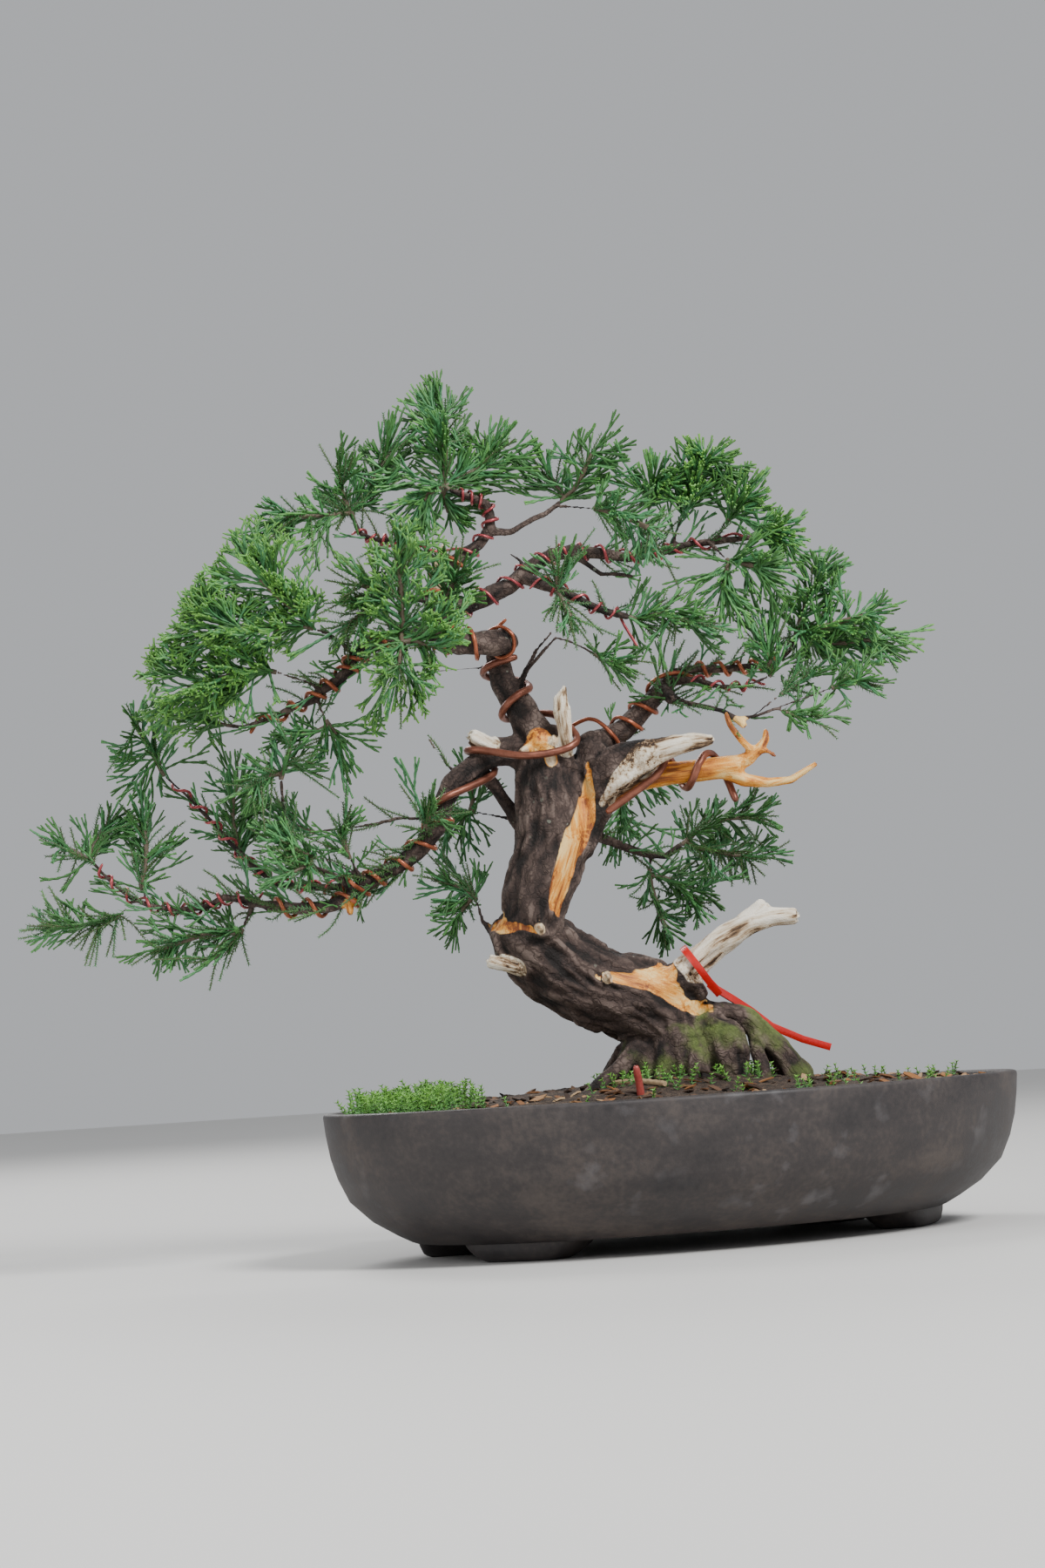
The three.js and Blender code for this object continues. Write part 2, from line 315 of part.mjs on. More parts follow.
// The leafy sprays. Each grows from the end of a twig, along slim stems, towards tips seen from the front.
// A third number of a tip is its depth; without one the depth follows the stem. More shoots are set round
// the stems besides those, and "reach" is their length.
const sprays = {
  spray_left_tip: {
    from: "leftBranchEnd",
    stems: [
      [[-338, 221, -15], [-345, 224.5, -14.5], [-352, 228, -14]],
      [[-333, 226, -10], [-328, 233, -6], [-321, 239, -3]],
    ],
    tips: [
      [-360, 231.5], [-358.5, 220.5], [-341.5, 243], [-325.5, 246], [-330, 236], [-357.5, 207], [-349, 202.5],
      [-314, 250],
    ],
    reach: [12, 20],
  },
  spray_left_needles: {
    from: "needleTwig",
    stems: [[[-325, 184, -30], [-337, 180.5, -32], [-350, 180, -33], [-361, 179, -34]]],
    tips: [[-333.5, 158], [-320, 163], [-350, 190, -20], [-340, 192, -46]],
    reach: [12, 19],
  },
  spray_left_hanging: {
    from: "hangingTwig",
    stems: [
      [[-250, 172, -37], [-258, 165, -40], [-266, 158, -42]],
      [[-254, 177, -34], [-268, 176, -32], [-284, 171, -33], [-297, 166, -34]],
    ],
    tips: [[-276, 153], [-295, 163], [-300, 182], [-300, 172, -48], [-290, 178.5], [-272, 168, -20]],
    reach: [12, 19],
  },
  spray_left_rising: {
    from: "risingTwig",
    stems: [[[-303, 207, -13], [-301, 218, -12], [-301, 230, -8], [-304, 240, -6]]],
    tips: [[-304, 248], [-309, 222], [-290, 226]],
    reach: [12, 19],
  },
  spray_branch_a: {
    from: "branchA",
    stems: [[[-293, 272, 7], [-298, 282, 8], [-306, 293, 6], [-310, 301, 5]]],
    tips: [[-292, 258.5], [-296.5, 246.5], [-318.5, 265], [-311, 308.5], [-324, 283.5], [-317.5, 264.5], [-287, 303]],
    reach: [12, 20],
  },
  spray_branch_a_middle: {
    from: "branchATwig",
    stems: [[[-249, 230, 9], [-252, 242, 13], [-251, 256, 16], [-247, 267, 18]]],
    tips: [[-262, 256], [-258, 268, 26]],
    reach: [12, 20],
  },
  spray_branch_b: {
    from: "branchB",
    stems: [
      [[-222, 271, -51], [-219, 280, -52], [-217, 289, -54]],
      [[-228, 268, -53], [-235, 266, -57], [-241, 262, -60], [-245, 256, -62]],
    ],
    tips: [
      [-209, 293], [-200, 288], [-198, 277], [-195.5, 264.5], [-230, 287], [-240, 275], [-248, 263.5], [-240, 246],
    ],
    reach: [12, 20],
  },
  spray_branch_b_low: {
    from: "leftTwigLow",
    stems: [
      [[-210, 222, -57], [-220, 224, -60], [-230, 230, -62]],
      [[-206, 216, -60], [-216, 211, -66], [-226, 210, -70]],
    ],
    tips: [[-238, 238], [-236, 222], [-232, 202]],
    reach: [11, 18],
  },
  spray_upper_twig: {
    from: "upperTwig",
    stems: [[[-213, 237, 24], [-222, 240, 26], [-229, 243, 28]]],
    tips: [[-236, 247], [-218, 252], [-219, 229, 36]],
    reach: [11, 17],
  },
  spray_left_crown: {
    from: "branchBTwig",
    stems: [[[-188, 225, -49], [-189, 236, -51], [-186, 244, -52]]],
    tips: [[-183, 254.5], [-178, 244.5], [-197, 246], [-201, 234]],
    reach: [11, 17],
  },
  spray_tuft: {
    from: "tuftTwig",
    stems: [[[-140.5, 241, -36], [-138, 246, -37], [-134, 250, -38]]],
    tips: [[-136.5, 262], [-129, 259], [-115, 246, -40], [-118, 236, -40], [-146, 256]],
    reach: [11, 17],
  },
  spray_fan_high: {
    from: "fanTwigHigh",
    stems: [
      [[-211, 358, -59], [-219, 365, -61], [-232, 376, -64], [-240, 383, -66]],
      [[-218, 353, -61], [-230, 351, -62], [-244, 350, -62], [-262, 352, -62]],
    ],
    tips: [
      [-259, 387], [-244, 399.5], [-233, 400.5], [-221, 399], [-262, 376.5], [-269.5, 380], [-256, 367],
      [-272, 363.5], [-282, 358], [-287, 346], [-285, 336],
    ],
    reach: [12, 20],
  },
  spray_fan_low: {
    from: "fanTwigLow",
    stems: [[[-236, 328, -47], [-250, 326, -51], [-268, 320, -56], [-282, 315, -58]]],
    tips: [[-299, 331], [-302, 324], [-294, 312], [-286, 306], [-305, 303], [-270, 338, -60], [-262, 306, -56]],
    reach: [12, 20],
  },
  spray_left_point: {
    from: "middleLeft",
    stems: [[[-264, 298.5, -24], [-272, 301, -22]]],
    tips: [[-280, 306], [-276, 297], [-270, 311, -16]],
    reach: [11, 17],
  },
  spray_low_hanging: {
    from: "lowHangTwig",
    stems: [[[-194, 293, -45], [-188, 286, -46]], [[-200, 293, -45], [-209, 290, -46], [-218, 290, -46]]],
    tips: [[-179.5, 277], [-183, 267], [-168, 283], [-231, 285], [-200, 276]],
    reach: [11, 17],
  },
  spray_front: {
    from: "frontTwig",
    stems: [
      [[-154, 343, -80], [-155, 334, -90], [-157, 325, -95]],
      [[-153, 357, -78], [-154, 370, -82], [-156, 384, -84], [-158, 398, -84]],
      [[-147, 345, -76], [-138, 341, -78], [-130, 340, -80]],
    ],
    tips: [
      [-169, 317], [-162.5, 309.5], [-154, 307], [-148, 312], [-168, 327], [-137.5, 318], [-135, 328], [-120, 342],
      [-114, 335], [-120, 350], [-143, 300], [-158, 409], [-147, 402], [-170, 398],
    ],
    reach: [12, 20],
  },
  spray_front_high: {
    from: "frontTwigHigh",
    stems: [
      [[-166, 373, -55], [-174, 376, -62], [-183, 378, -68]],
      [[-168, 367, -54], [-178, 359, -60], [-188, 351, -65]],
    ],
    tips: [[-196, 388], [-194, 375], [-180, 391], [-200, 351], [-192, 339], [-198, 362]],
    reach: [12, 19],
  },
  spray_front_right: {
    from: "frontTwigRight",
    stems: [[[-126, 374, -50], [-123, 380, -56], [-121, 389, -60]]],
    tips: [[-106, 369], [-118, 399], [-109, 388], [-133, 392]],
    reach: [11, 17],
  },
  spray_upper_left: {
    from: "upperLeft",
    stems: [
      [[-184, 421, -9], [-189, 430, -11], [-192, 438, -13], [-190, 446, -14]],
      [[-190, 417, -14], [-201, 416, -22], [-214, 416, -30], [-226, 414, -34]],
      [[-177, 424, -5], [-170, 436, -1], [-164, 448, 3], [-158, 458, 6]],
    ],
    tips: [
      [-206.5, 437], [-188.5, 455], [-181, 456], [-176, 447], [-210.5, 424], [-165, 474.5], [-155, 477],
      [-171, 460], [-147, 463], [-229, 424], [-218, 405],
    ],
    reach: [12, 20],
  },
  spray_apex: {
    from: "apexBranch",
    stems: [
      [[-129, 438, 0], [-130, 450, 0], [-129, 464, -1], [-130, 478, -2]],
      [[-134, 433, -9], [-140, 428, -17], [-146, 422, -23]],
      [[-119, 439, 5], [-110, 442, 7], [-105, 448, 8], [-103, 456, 8]],
      [[-131, 427, 5], [-129, 420, 11], [-125, 415, 15]],
    ],
    tips: [
      [-125, 405], [-116, 410], [-137, 497], [-151.5, 486.5], [-127, 490, 6], [-162, 447], [-155, 414], [-147, 410], [-134, 414],
      [-96.5, 468.5], [-89.5, 460], [-94.5, 447], [-146, 468, -16], [-118, 474, 14],
    ],
    reach: [12, 20],
  },
  spray_apex_right: {
    from: "apexRight",
    stems: [
      [[-65, 431, 12], [-70, 439, 14], [-74, 446, 15]],
      [[-56, 429, 8], [-51, 438, 4], [-47, 448, 2], [-44, 457, 0]],
    ],
    tips: [
      [-90.5, 451.5], [-78.5, 462], [-68, 453], [-84, 436], [-92, 428], [-43.5, 469], [-37, 462], [-27.5, 456.5],
      [-30, 446],
    ],
    reach: [12, 19],
  },
  spray_drooping: {
    from: "droopTwig",
    stems: [[[-36, 419, -21], [-26, 416, -27], [-16, 411, -32], [-8, 406, -35]]],
    tips: [[4, 403], [-25, 393, -36], [-14, 390, -38], [-30, 430, -30], [-8, 420]],
    reach: [12, 19],
  },
  spray_middle_top: {
    from: "middleTopTwig",
    stems: [[[-11.5, 427, 4], [-9, 434, 2], [-6, 439, 0]]],
    tips: [[-12.5, 452], [-4, 452], [3, 447], [8.5, 438], [-22, 438], [-1, 428, 12]],
    reach: [12, 19],
  },
  spray_top_fan: {
    from: "fanTopTwig",
    stems: [[[10, 423, 3], [14, 433, 1], [18, 443, -1], [22, 452, -2]]],
    tips: [[27.5, 469], [34.5, 459], [38, 451], [9, 456], [2, 441]],
    reach: [12, 19],
  },
  spray_top_middle: {
    from: "upMiddleTwig",
    stems: [[[36, 418, 1], [40, 425, -1], [44, 431, -2]]],
    tips: [[50.5, 443], [40, 443], [57, 432], [61.5, 421], [30, 434]],
    reach: [11, 18],
  },
  spray_crossing_end: {
    from: "crossing",
    stems: [[[54, 405.5, 3], [59, 407, 1], [64, 407, 0]]],
    tips: [[72, 416], [76, 407], [75, 399], [66, 392], [58, 417, 10]],
    reach: [11, 17],
  },
  spray_fan_low_right: {
    from: "fanLowTwig",
    stems: [
      [[38, 390, -12], [45, 388, -14], [53, 385, -15]],
      [[32, 385, -15], [30, 379, -19], [29, 371, -21]],
    ],
    tips: [[66.5, 374], [63, 387], [52, 373], [40, 367], [41, 357], [27, 355], [18, 372]],
    reach: [12, 19],
  },
  spray_third_right: {
    from: "thirdRight",
    stems: [[[-15, 359, -20], [-3, 360, -22], [8, 357, -24], [16, 353, -25]]],
    tips: [[29, 350], [33, 339], [-12, 345], [2, 342], [-4, 374, -30]],
    reach: [12, 19],
  },
  spray_right_high: {
    from: "rightUpper",
    stems: [
      [[74, 354, 16], [77, 362, 14], [81, 373, 11], [86, 385, 8]],
      [[79, 349, 14], [90, 353, 10], [104, 357, 7], [116, 360, 6]],
      [[80, 343, 19], [92, 342, 20], [106, 343, 20], [120, 346, 20]],
    ],
    tips: [
      [89.5, 400.5], [97, 395], [65, 370], [68, 360], [100, 378], [129, 360], [124, 369], [109.5, 371],
      [136, 346], [136, 338], [128, 334], [120, 330], [146, 345, 26], [104, 330, 28],
    ],
    reach: [12, 20],
  },
  spray_right_middle: {
    from: "rightMiddle",
    stems: [[[57, 330, -2], [55, 338, -4], [53, 346, -6]]],
    tips: [[45.5, 357.5], [52, 361], [61, 359], [44, 343], [66, 344]],
    reach: [11, 17],
  },
  spray_right_outer: {
    from: "lowTwigOuter",
    stems: [[[99, 319, -9], [106, 320.5, -9], [112, 322, -8]]],
    tips: [[124, 322], [121, 314], [109, 331], [104, 309]],
    reach: [11, 17],
  },
  spray_right_inner: {
    from: "lowTwigInner",
    stems: [[[68, 317, 0], [74, 321, 4], [82, 325, 6]]],
    tips: [[92, 330], [74, 333], [86, 317]],
    reach: [9, 15],
  },
  spray_right_low: {
    from: "rightLowTwig",
    stems: [[[71, 301, -19], [77, 299, -21], [84, 297, -22]]],
    tips: [[95, 300], [94, 292], [79, 289], [68, 292]],
    reach: [9, 15],
  },
  spray_rear_right: {
    from: "rearBranch",
    stems: [
      [[13, 234, 57], [24, 241, 59], [38, 243, 61], [52, 243.5, 62]],
      [[14, 225, 56], [27, 223, 58], [40, 221, 60], [51, 218, 61]],
    ],
    tips: [
      [66, 243], [63, 236], [57, 254.5], [46, 250], [53.5, 258], [11, 252], [27, 254], [68, 229], [68, 217],
      [58, 208], [44, 207], [32, 209],
    ],
    reach: [12, 20],
  },
  spray_rear_hanging: {
    from: "rearTwigDown",
    stems: [
      [[-12.5, 205, 47], [-9, 195, 48], [-5, 184, 49], [0, 175, 50]],
      [[-6, 209, 49], [3, 206, 52], [10, 199, 54], [18, 190, 56]],
    ],
    tips: [[4, 165], [16, 180], [-18, 190], [27, 186], [-25, 202]],
    reach: [12, 19],
  },
  spray_rear_whips: {
    from: "rearTwigTop",
    stems: [[[-23.5, 270, 46], [-25, 262, 48], [-28, 252, 49], [-30, 240, 50]]],
    tips: [[-31, 222], [-19, 230], [-9, 244], [-6, 262, 54], [-42, 232], [-40, 262, 56]],
    reach: [11, 17],
  },
  spray_rear_left_high: {
    from: "rearTwigUp",
    stems: [[[-119, 248, 41], [-124, 246, 44], [-131, 240, 46]], [[-113, 254, 40], [-114, 261, 43], [-114, 268, 45]]],
    tips: [[-122.5, 281], [-103, 275], [-100, 258, 48], [-142, 244], [-138, 230], [-118, 232], [-104, 232]],
    reach: [12, 19],
  },
  spray_rear_left_low: {
    from: "rearTwigLow",
    stems: [[[-113.5, 200, 22], [-120, 203, 26], [-130, 205, 30]], [[-117, 194, 24], [-122, 187, 28], [-125, 180, 31]]],
    tips: [
      [-146, 202], [-142.5, 211], [-148.5, 216], [-138, 184], [-131.5, 174], [-126, 165], [-113, 184], [-107, 212],
      [-117, 216],
    ],
    reach: [11, 18],
  },
  spray_leader: {
    from: "leaderTwigLong",
    stems: [[[-38, 333, -19], [-33, 330.5, -20], [-28, 328.5, -21]]],
    tips: [[-15, 333], [-16, 324], [-16.5, 313], [-29, 316], [-34, 341]],
    reach: [11, 17],
  },
  spray_centre: {
    from: "centreTwig",
    stems: [[[-65, 375, -36], [-64.5, 380, -40], [-65, 388, -42]], [[-62, 368, -36], [-58, 361, -38], [-55, 353, -39]]],
    tips: [[-66, 401], [-54, 392], [-77, 388], [-74, 360], [-54.5, 338], [-42, 352]],
    reach: [11, 17],
  },
};

// The training wires. A coil winds round a limb between two seen points: it has so many turns, starts at an
// angle from the front of the limb, and turns to the right or to the left. Plain points lead it on.
const wires = {
  wire_thick_trunk: {
    radius: thickWire,
    sides: 5,
    route: [
      [[-142, 245, -22], [-140, 251.5, -27], [-134, 257, -28], [-126, 259, -27], [-116.5, 259.5, -23]],
      [[-108, 262, -12], [-104, 268, 4], [-108, 276, 10], [-114, 283, 2], [-113, 284, -14], [-102.5, 285.5, -20]],
      [[-91, 279.5, -24], [-79.5, 274, -27], [-68, 273, -26], [-56.5, 278, -20], [-50, 287.5, -8]],
      [[-52, 299, 0], [-58.5, 303, -4], [-70, 306, 2], [-79, 307, 10], [-88, 304, 16], [-97, 299, 8]],
      [[-95, 300, -6], [-88, 310, -10], [-83, 321, -4], [-86, 328, 12]],
      [[-97, 327, 20], [-108, 326, 12], [-107, 330, 2], [-99, 335, -4], [-89, 338, 2]],
    ],
  },
  wire_thick_jin: {
    radius: thickWire,
    sides: 5,
    route: [
      [[-42, 246, -10], [-32, 250.5, -9], [-22, 257, -11], [-17, 263, -12], [-10, 272, -12], [-6, 277, -4]],
      [[-6, 274, 6], [-2, 266, 8], [3, 258, 2], [8, 257.5, -9], [13, 263, -18], [19, 271, -19]],
      [[24, 279, -13], [27, 280, -3], [31, 274, 4], [34, 265, 0], [36, 259.5, -6], [37.5, 252.5, -9]],
    ],
  },
  wire_right_branch: {
    radius: middleWire,
    sides: 4,
    route: [
      [[-62, 292, 12], [-54, 298, 8], [-49, 297, -2]],
      { around: "rightBranch", from: [-40, 285], to: [1, 323], turns: 4, start: -60, hand: 1 },
      { around: "rightUpper", from: [9, 327], to: [61, 332], turns: 5, start: 20, hand: 1 },
    ],
  },
  wire_leader_bend: {
    radius: middleWire,
    sides: 4,
    route: [{ around: "leader", from: [-94, 344], to: [-131, 348], turns: 3.5, start: 60, hand: 1 }],
  },
  wire_knot: {
    radius: middleWire,
    sides: 4,
    route: [{ around: "apexBranch", from: [-137, 362], to: [-124, 389], turns: 3, start: 90, hand: 1 }],
  },
  wire_top_right: {
    radius: thinWire,
    sides: 3,
    route: [{ around: "crossing", from: [-121, 363], to: [42, 403], turns: 13, start: 0, hand: 1 }],
  },
  wire_third_right: {
    radius: thinWire,
    sides: 3,
    route: [
      { around: "thirdRight", from: [-76, 377.5], to: [-28, 358.5], turns: 5, start: 60, hand: -1 },
      [[-19.5, 350, -24], [-19, 341, -24]],
    ],
  },
  wire_apex: {
    radius: thinWire,
    sides: 3,
    route: [
      { around: "upperLeft", from: [-179, 407], to: [-142, 394.5], turns: 5, start: 120, hand: -1 },
      [[-132, 393, 6], [-124, 394, 8]],
      { around: "apexBranch", from: [-120, 392.5], to: [-122, 429], turns: 7, start: 200, hand: 1 },
    ],
  },
  wire_left_branch: {
    radius: middleWire,
    sides: 4,
    route: [
      { around: "leftBranch", from: [-131, 247], to: [-229, 192], turns: 8, start: 150, hand: 1 },
    ],
  },
  wire_left_end: {
    radius: thinWire,
    sides: 3,
    route: [{ around: "leftBranchEnd", from: [-236, 193.5], to: [-328, 213.5], turns: 9, start: 90, hand: 1 }],
  },
  wire_left_high: {
    radius: thinWire,
    sides: 3,
    route: [{ around: "branchA", from: [-190, 203], to: [-286, 263], turns: 9, start: 180, hand: -1 }],
  },
  wire_middle_left: {
    radius: middleWire,
    sides: 4,
    route: [{ around: "middleLeft", from: [-144, 349], to: [-243, 295.5], turns: 8, start: -90, hand: 1 }],
  },
  wire_right_middle: {
    radius: thinWire,
    sides: 3,
    route: [{ around: "rightMiddle", from: [13, 322], to: [53, 322], turns: 4, start: 30, hand: -1 }],
  },
};

// The cable tie round the foot of the grey lower jin, and the end of the wire that ties the tree down
const tieLoop = {
  middle: [17, 155, -11],
  along: [0.78, 0.62, 0],
  halfWidth: 17.5,
  halfDepth: 14,
};
const tieHead = [30, 147, 3];
const tieTail = [[36, 138.5, 8], [46, 132, 13], [58, 123, 14], [76, 115.5, 14], [92, 111, 13]];
const anchorWire = [[-15, 66, -100], [-16.5, 80, -100], [-18, 91, -101], [-20, 100, -103]];

function mixer(seed) {
  let state = seed;
  return () => {
    state = (state + 0x6d2b79f5) | 0;
    let mixed = Math.imul(state ^ (state >>> 15), 1 | state);
    mixed = (mixed + Math.imul(mixed ^ (mixed >>> 7), 61 | mixed)) ^ mixed;
    return ((mixed ^ (mixed >>> 14)) >>> 0) / 4294967296;
  };
}

// From a seen point to the place it has beside the level pot
function seen([across, up, behind]) {
  const spread = (eyeDistance + behind) / eyeDistance;
  const x = eyeAcross + (across - eyeAcross) * spread;
  const z = eyeUp + (up - eyeUp) * spread;
  const levelX = x * Math.cos(potRoll) + z * Math.sin(potRoll);
  const rolledZ = -x * Math.sin(potRoll) + z * Math.cos(potRoll);
  return new THREE.Vector3(
    levelX,
    behind * Math.cos(potPitch) - rolledZ * Math.sin(potPitch),
    behind * Math.sin(potPitch) + rolledZ * Math.cos(potPitch),
  );
}

const awayFromEye = new THREE.Vector3(0, Math.cos(potPitch), Math.sin(potPitch));

function middleOf(points) {
  return points.reduce((sum, point) => sum.add(point), new THREE.Vector3()).divideScalar(points.length);
}

// A closed three.js geometry as a solid that can be joined and cut
function solidFrom(geometry) {
  geometry.deleteAttribute("normal");
  geometry.deleteAttribute("uv");
  const merged = mergeVertices(geometry, 1e-4);
  return new Manifold(
    new Mesh({
      numProp: 3,
      vertProperties: Float32Array.from(merged.attributes.position.array),
      triVerts: Uint32Array.from(merged.index.array),
    }),
  );
}

// A closed solid through rings that all have the same number of corners, each turning left as seen from the
// next one, with a fan of faces to a middle point at both ends
function ringed(rings, startMiddle, endMiddle) {
  const corners = rings[0].length;
  const places = [...rings.flat(), startMiddle, endMiddle];
  const faces = [];
  for (let ring = 0; ring < rings.length - 1; ring += 1) {
    for (let corner = 0; corner < corners; corner += 1) {
      const next = (corner + 1) % corners;
      const low = ring * corners;
      const high = low + corners;
      faces.push(low + corner, low + next, high + next);
      faces.push(low + corner, high + next, high + corner);
    }
  }
  const start = places.length - 2;
  const last = (rings.length - 1) * corners;
  for (let corner = 0; corner < corners; corner += 1) {
    const next = (corner + 1) % corners;
    faces.push(start, next, corner);
    faces.push(start + 1, last + corner, last + next);
  }
  return solidFrom(new THREE.BufferGeometry().setFromPoints(places).setIndex(faces));
}

// Directions along a path and across it, carried from point to point without twisting
function frames(path, startNormal) {
  let normal = startNormal.clone();
  return path.map((point, index) => {
    const before = path[Math.max(index - 1, 0)];
    const after = path[Math.min(index + 1, path.length - 1)];
    const back = point.clone().sub(before).normalize();
    const on = after.clone().sub(point).normalize();
    const along = back.add(on).normalize();
    normal = normal.clone().addScaledVector(along, -normal.dot(along)).normalize();
    const side = new THREE.Vector3().crossVectors(along, normal);
    return { point, along, normal, side };
  });
}

function startNormalFor(path) {
  const direction = path[1].clone().sub(path[0]).normalize();
  const guess = awayFromEye.clone();
  if (Math.abs(direction.dot(guess)) > 0.9) {
    return new THREE.Vector3(0, 0, 1);
  }
  return guess;
}

// A tube along a path, with a radius for each point and a share that flattens it from front to back
function tube(path, radii, sides, { flats = [], lump = 0, random = null } = {}) {
  const rings = frames(path, startNormalFor(path)).map(({ point, normal, side }, index) => {
    const ring = [];
    for (let corner = 0; corner < sides; corner += 1) {
      const angle = (2 * Math.PI * (corner + 0.5)) / sides;
      const radius = radii[index] * (random ? 1 - lump * random() : 1);
      const flat = flats[index] ?? 1;
      ring.push(
        point
          .clone()
          .addScaledVector(normal, radius * flat * Math.cos(angle))
          .addScaledVector(side, radius * Math.sin(angle)),
      );
    }
    return ring;
  });
  return ringed(rings, path[0], path[path.length - 1]);
}

// Everything already placed, as round cones between two points
const placed = [];

function place(path, radii, owner) {
  for (let index = 0; index < path.length - 1; index += 1) {
    placed.push({
      owner,
      start: path[index],
      end: path[index + 1],
      startRadius: radii[index],
      endRadius: radii[index + 1],
    });
  }
}

const offset = new THREE.Vector3();
const axis = new THREE.Vector3();

// Free space between a point and a round cone, and the point of the cone's axis that is nearest
function spaceTo(point, cone) {
  axis.subVectors(cone.end, cone.start);
  const length = axis.length() || 1e-6;
  axis.divideScalar(length);
  offset.subVectors(point, cone.start);
  const along = offset.dot(axis);
  const away = Math.sqrt(Math.max(offset.lengthSq() - along * along, 0));
  const taper = THREE.MathUtils.clamp((cone.startRadius - cone.endRadius) / length, -0.9, 0.9);
  const share = THREE.MathUtils.clamp((along - (away * taper) / Math.sqrt(1 - taper * taper)) / length, 0, 1);
  const nearest = cone.start.clone().lerp(cone.end, share);
  const radius = cone.startRadius + (cone.endRadius - cone.startRadius) * share;
  return { space: point.distanceTo(nearest) - radius, nearest, radius };
}

function mayTouch(cone, point, reach) {
  const limit = reach + Math.max(cone.startRadius, cone.endRadius) + cone.start.distanceTo(cone.end);
  return cone.start.distanceToSquared(point) < limit * limit;
}

// The least free space between a path of given radii and all that is placed, apart from one owner
function leastSpace(path, radii, owner) {
  let least = Infinity;
  for (let index = 0; index < path.length - 1; index += 1) {
    const length = path[index].distanceTo(path[index + 1]);
    const near = placed.filter(
      (cone) => cone.owner !== owner && mayTouch(cone, path[index], length + radii[index] + 3),
    );
    const steps = Math.ceil(length / 1.2);
    for (let step = 0; step <= steps; step += 1) {
      const point = path[index].clone().lerp(path[index + 1], step / steps);
      const radius = radii[index] + ((radii[index + 1] - radii[index]) * step) / steps;
      for (const cone of near) {
        least = Math.min(least, spaceTo(point, cone).space - radius);
      }
    }
  }
  return least;
}

// Moves the points of a wire out of everything placed, and draws it taut round what it passes
function clearPath(path, radius) {
  const need = radius + gap + 0.02;
  const push = (point, cones) => {
    let moved = 0;
    for (const cone of cones) {
      const { space, nearest } = spaceTo(point, cone);
      if (space < need) {
        const away = point.clone().sub(nearest);
        if (away.lengthSq() < 1e-6) {
          away.copy(awayFromEye).negate();
        }
        point.addScaledVector(away.normalize(), need - space);
        moved += need - space;
      }
    }
    return moved;
  };
  let near = [];
  for (let round = 0; round < 160; round += 1) {
    if (round % 20 === 0) {
      near = path.map((point) => placed.filter((cone) => mayTouch(cone, point, 12)));
    }
    if (round < 100) {
      for (let index = 1; index < path.length - 1; index += 1) {
        const middle = path[index - 1].clone().add(path[index + 1]).multiplyScalar(0.5);
        path[index].lerp(middle, 0.08);
      }
    }
    for (let index = 0; index < path.length; index += 1) {
      push(path[index], near[index]);
      if (index === path.length - 1) {
        continue;
      }
      for (const share of [0.25, 0.5, 0.75]) {
        const between = path[index].clone().lerp(path[index + 1], share);
        const before = between.clone();
        if (push(between, near[index]) > 0) {
          const shift = between.sub(before);
          path[index].addScaledVector(shift, 1 - share * 0.5);
          path[index + 1].addScaledVector(shift, 0.5 + share * 0.5);
        }
      }
    }
  }
}

// The seen point on a limb that lies nearest another seen point, as a number of segments from its start
function shareAlong(points, [across, up]) {
  let best = { distance: Infinity, at: 0 };
  for (let index = 0; index < points.length - 1; index += 1) {
    const [startAcross, startUp] = points[index];
    const [endAcross, endUp] = points[index + 1];
    const runAcross = endAcross - startAcross;
    const runUp = endUp - startUp;
    const share = THREE.MathUtils.clamp(
      ((across - startAcross) * runAcross + (up - startUp) * runUp) / (runAcross ** 2 + runUp ** 2),
      0,
      1,
    );
    const distance = Math.hypot(across - startAcross - runAcross * share, up - startUp - runUp * share);
    if (distance < best.distance) {
      best = { distance, at: index + share };
    }
  }
  return best.at;
}

function onLimb(points, at) {
  const index = Math.min(Math.floor(at), points.length - 2);
  const share = at - index;
  return points[index].slice(0, 4).map((value, axisIndex) => value + (points[index + 1][axisIndex] - value) * share);
}

// A wire's turns round a limb
function coil({ around, from, to, turns, start, hand }, radius, stepsPerTurn) {
  const points = limbs[around].points;
  const first = shareAlong(points, from);
  const last = shareAlong(points, to);
  const count = Math.round(turns * stepsPerTurn);
  const samples = [];
  for (let step = 0; step <= count; step += 1) {
    samples.push(onLimb(points, first + ((last - first) * step) / count));
  }
  const middles = samples.map(seen);
  return frames(middles, awayFromEye.clone().negate()).map(({ point, normal, side }, step) => {
    const angle = start * degrees + (hand * 2 * Math.PI * step) / stepsPerTurn;
    const distance = samples[step][3] + radius + gap;
    return point
      .clone()
      .addScaledVector(normal, distance * Math.cos(angle))
      .addScaledVector(side, distance * Math.sin(angle));
  });
}

// The whole run of a wire, its plain stretches filled with points so that it can lie round the wood
function wirePath({ radius, route }) {
  const stepsPerTurn = radius > 2 ? 8 : radius > 1 ? 6 : 5;
  const spacing = radius > 2 ? 6.5 : 4.5;
  const path = [];
  for (const stretch of route) {
    const isCoil = !Array.isArray(stretch);
    const next = isCoil ? coil(stretch, radius, stepsPerTurn) : stretch.map(seen);
    for (const [index, point] of next.entries()) {
      const before = path[path.length - 1];
      if (before && !(isCoil && index > 0)) {
        const pieces = Math.floor(before.distanceTo(point) / spacing);
        for (let piece = 1; piece < pieces; piece += 1) {
          path.push(before.clone().lerp(point, piece / pieces));
        }
      }
      path.push(point);
    }
  }
  return path;
}

const parts = new THREE.Group();

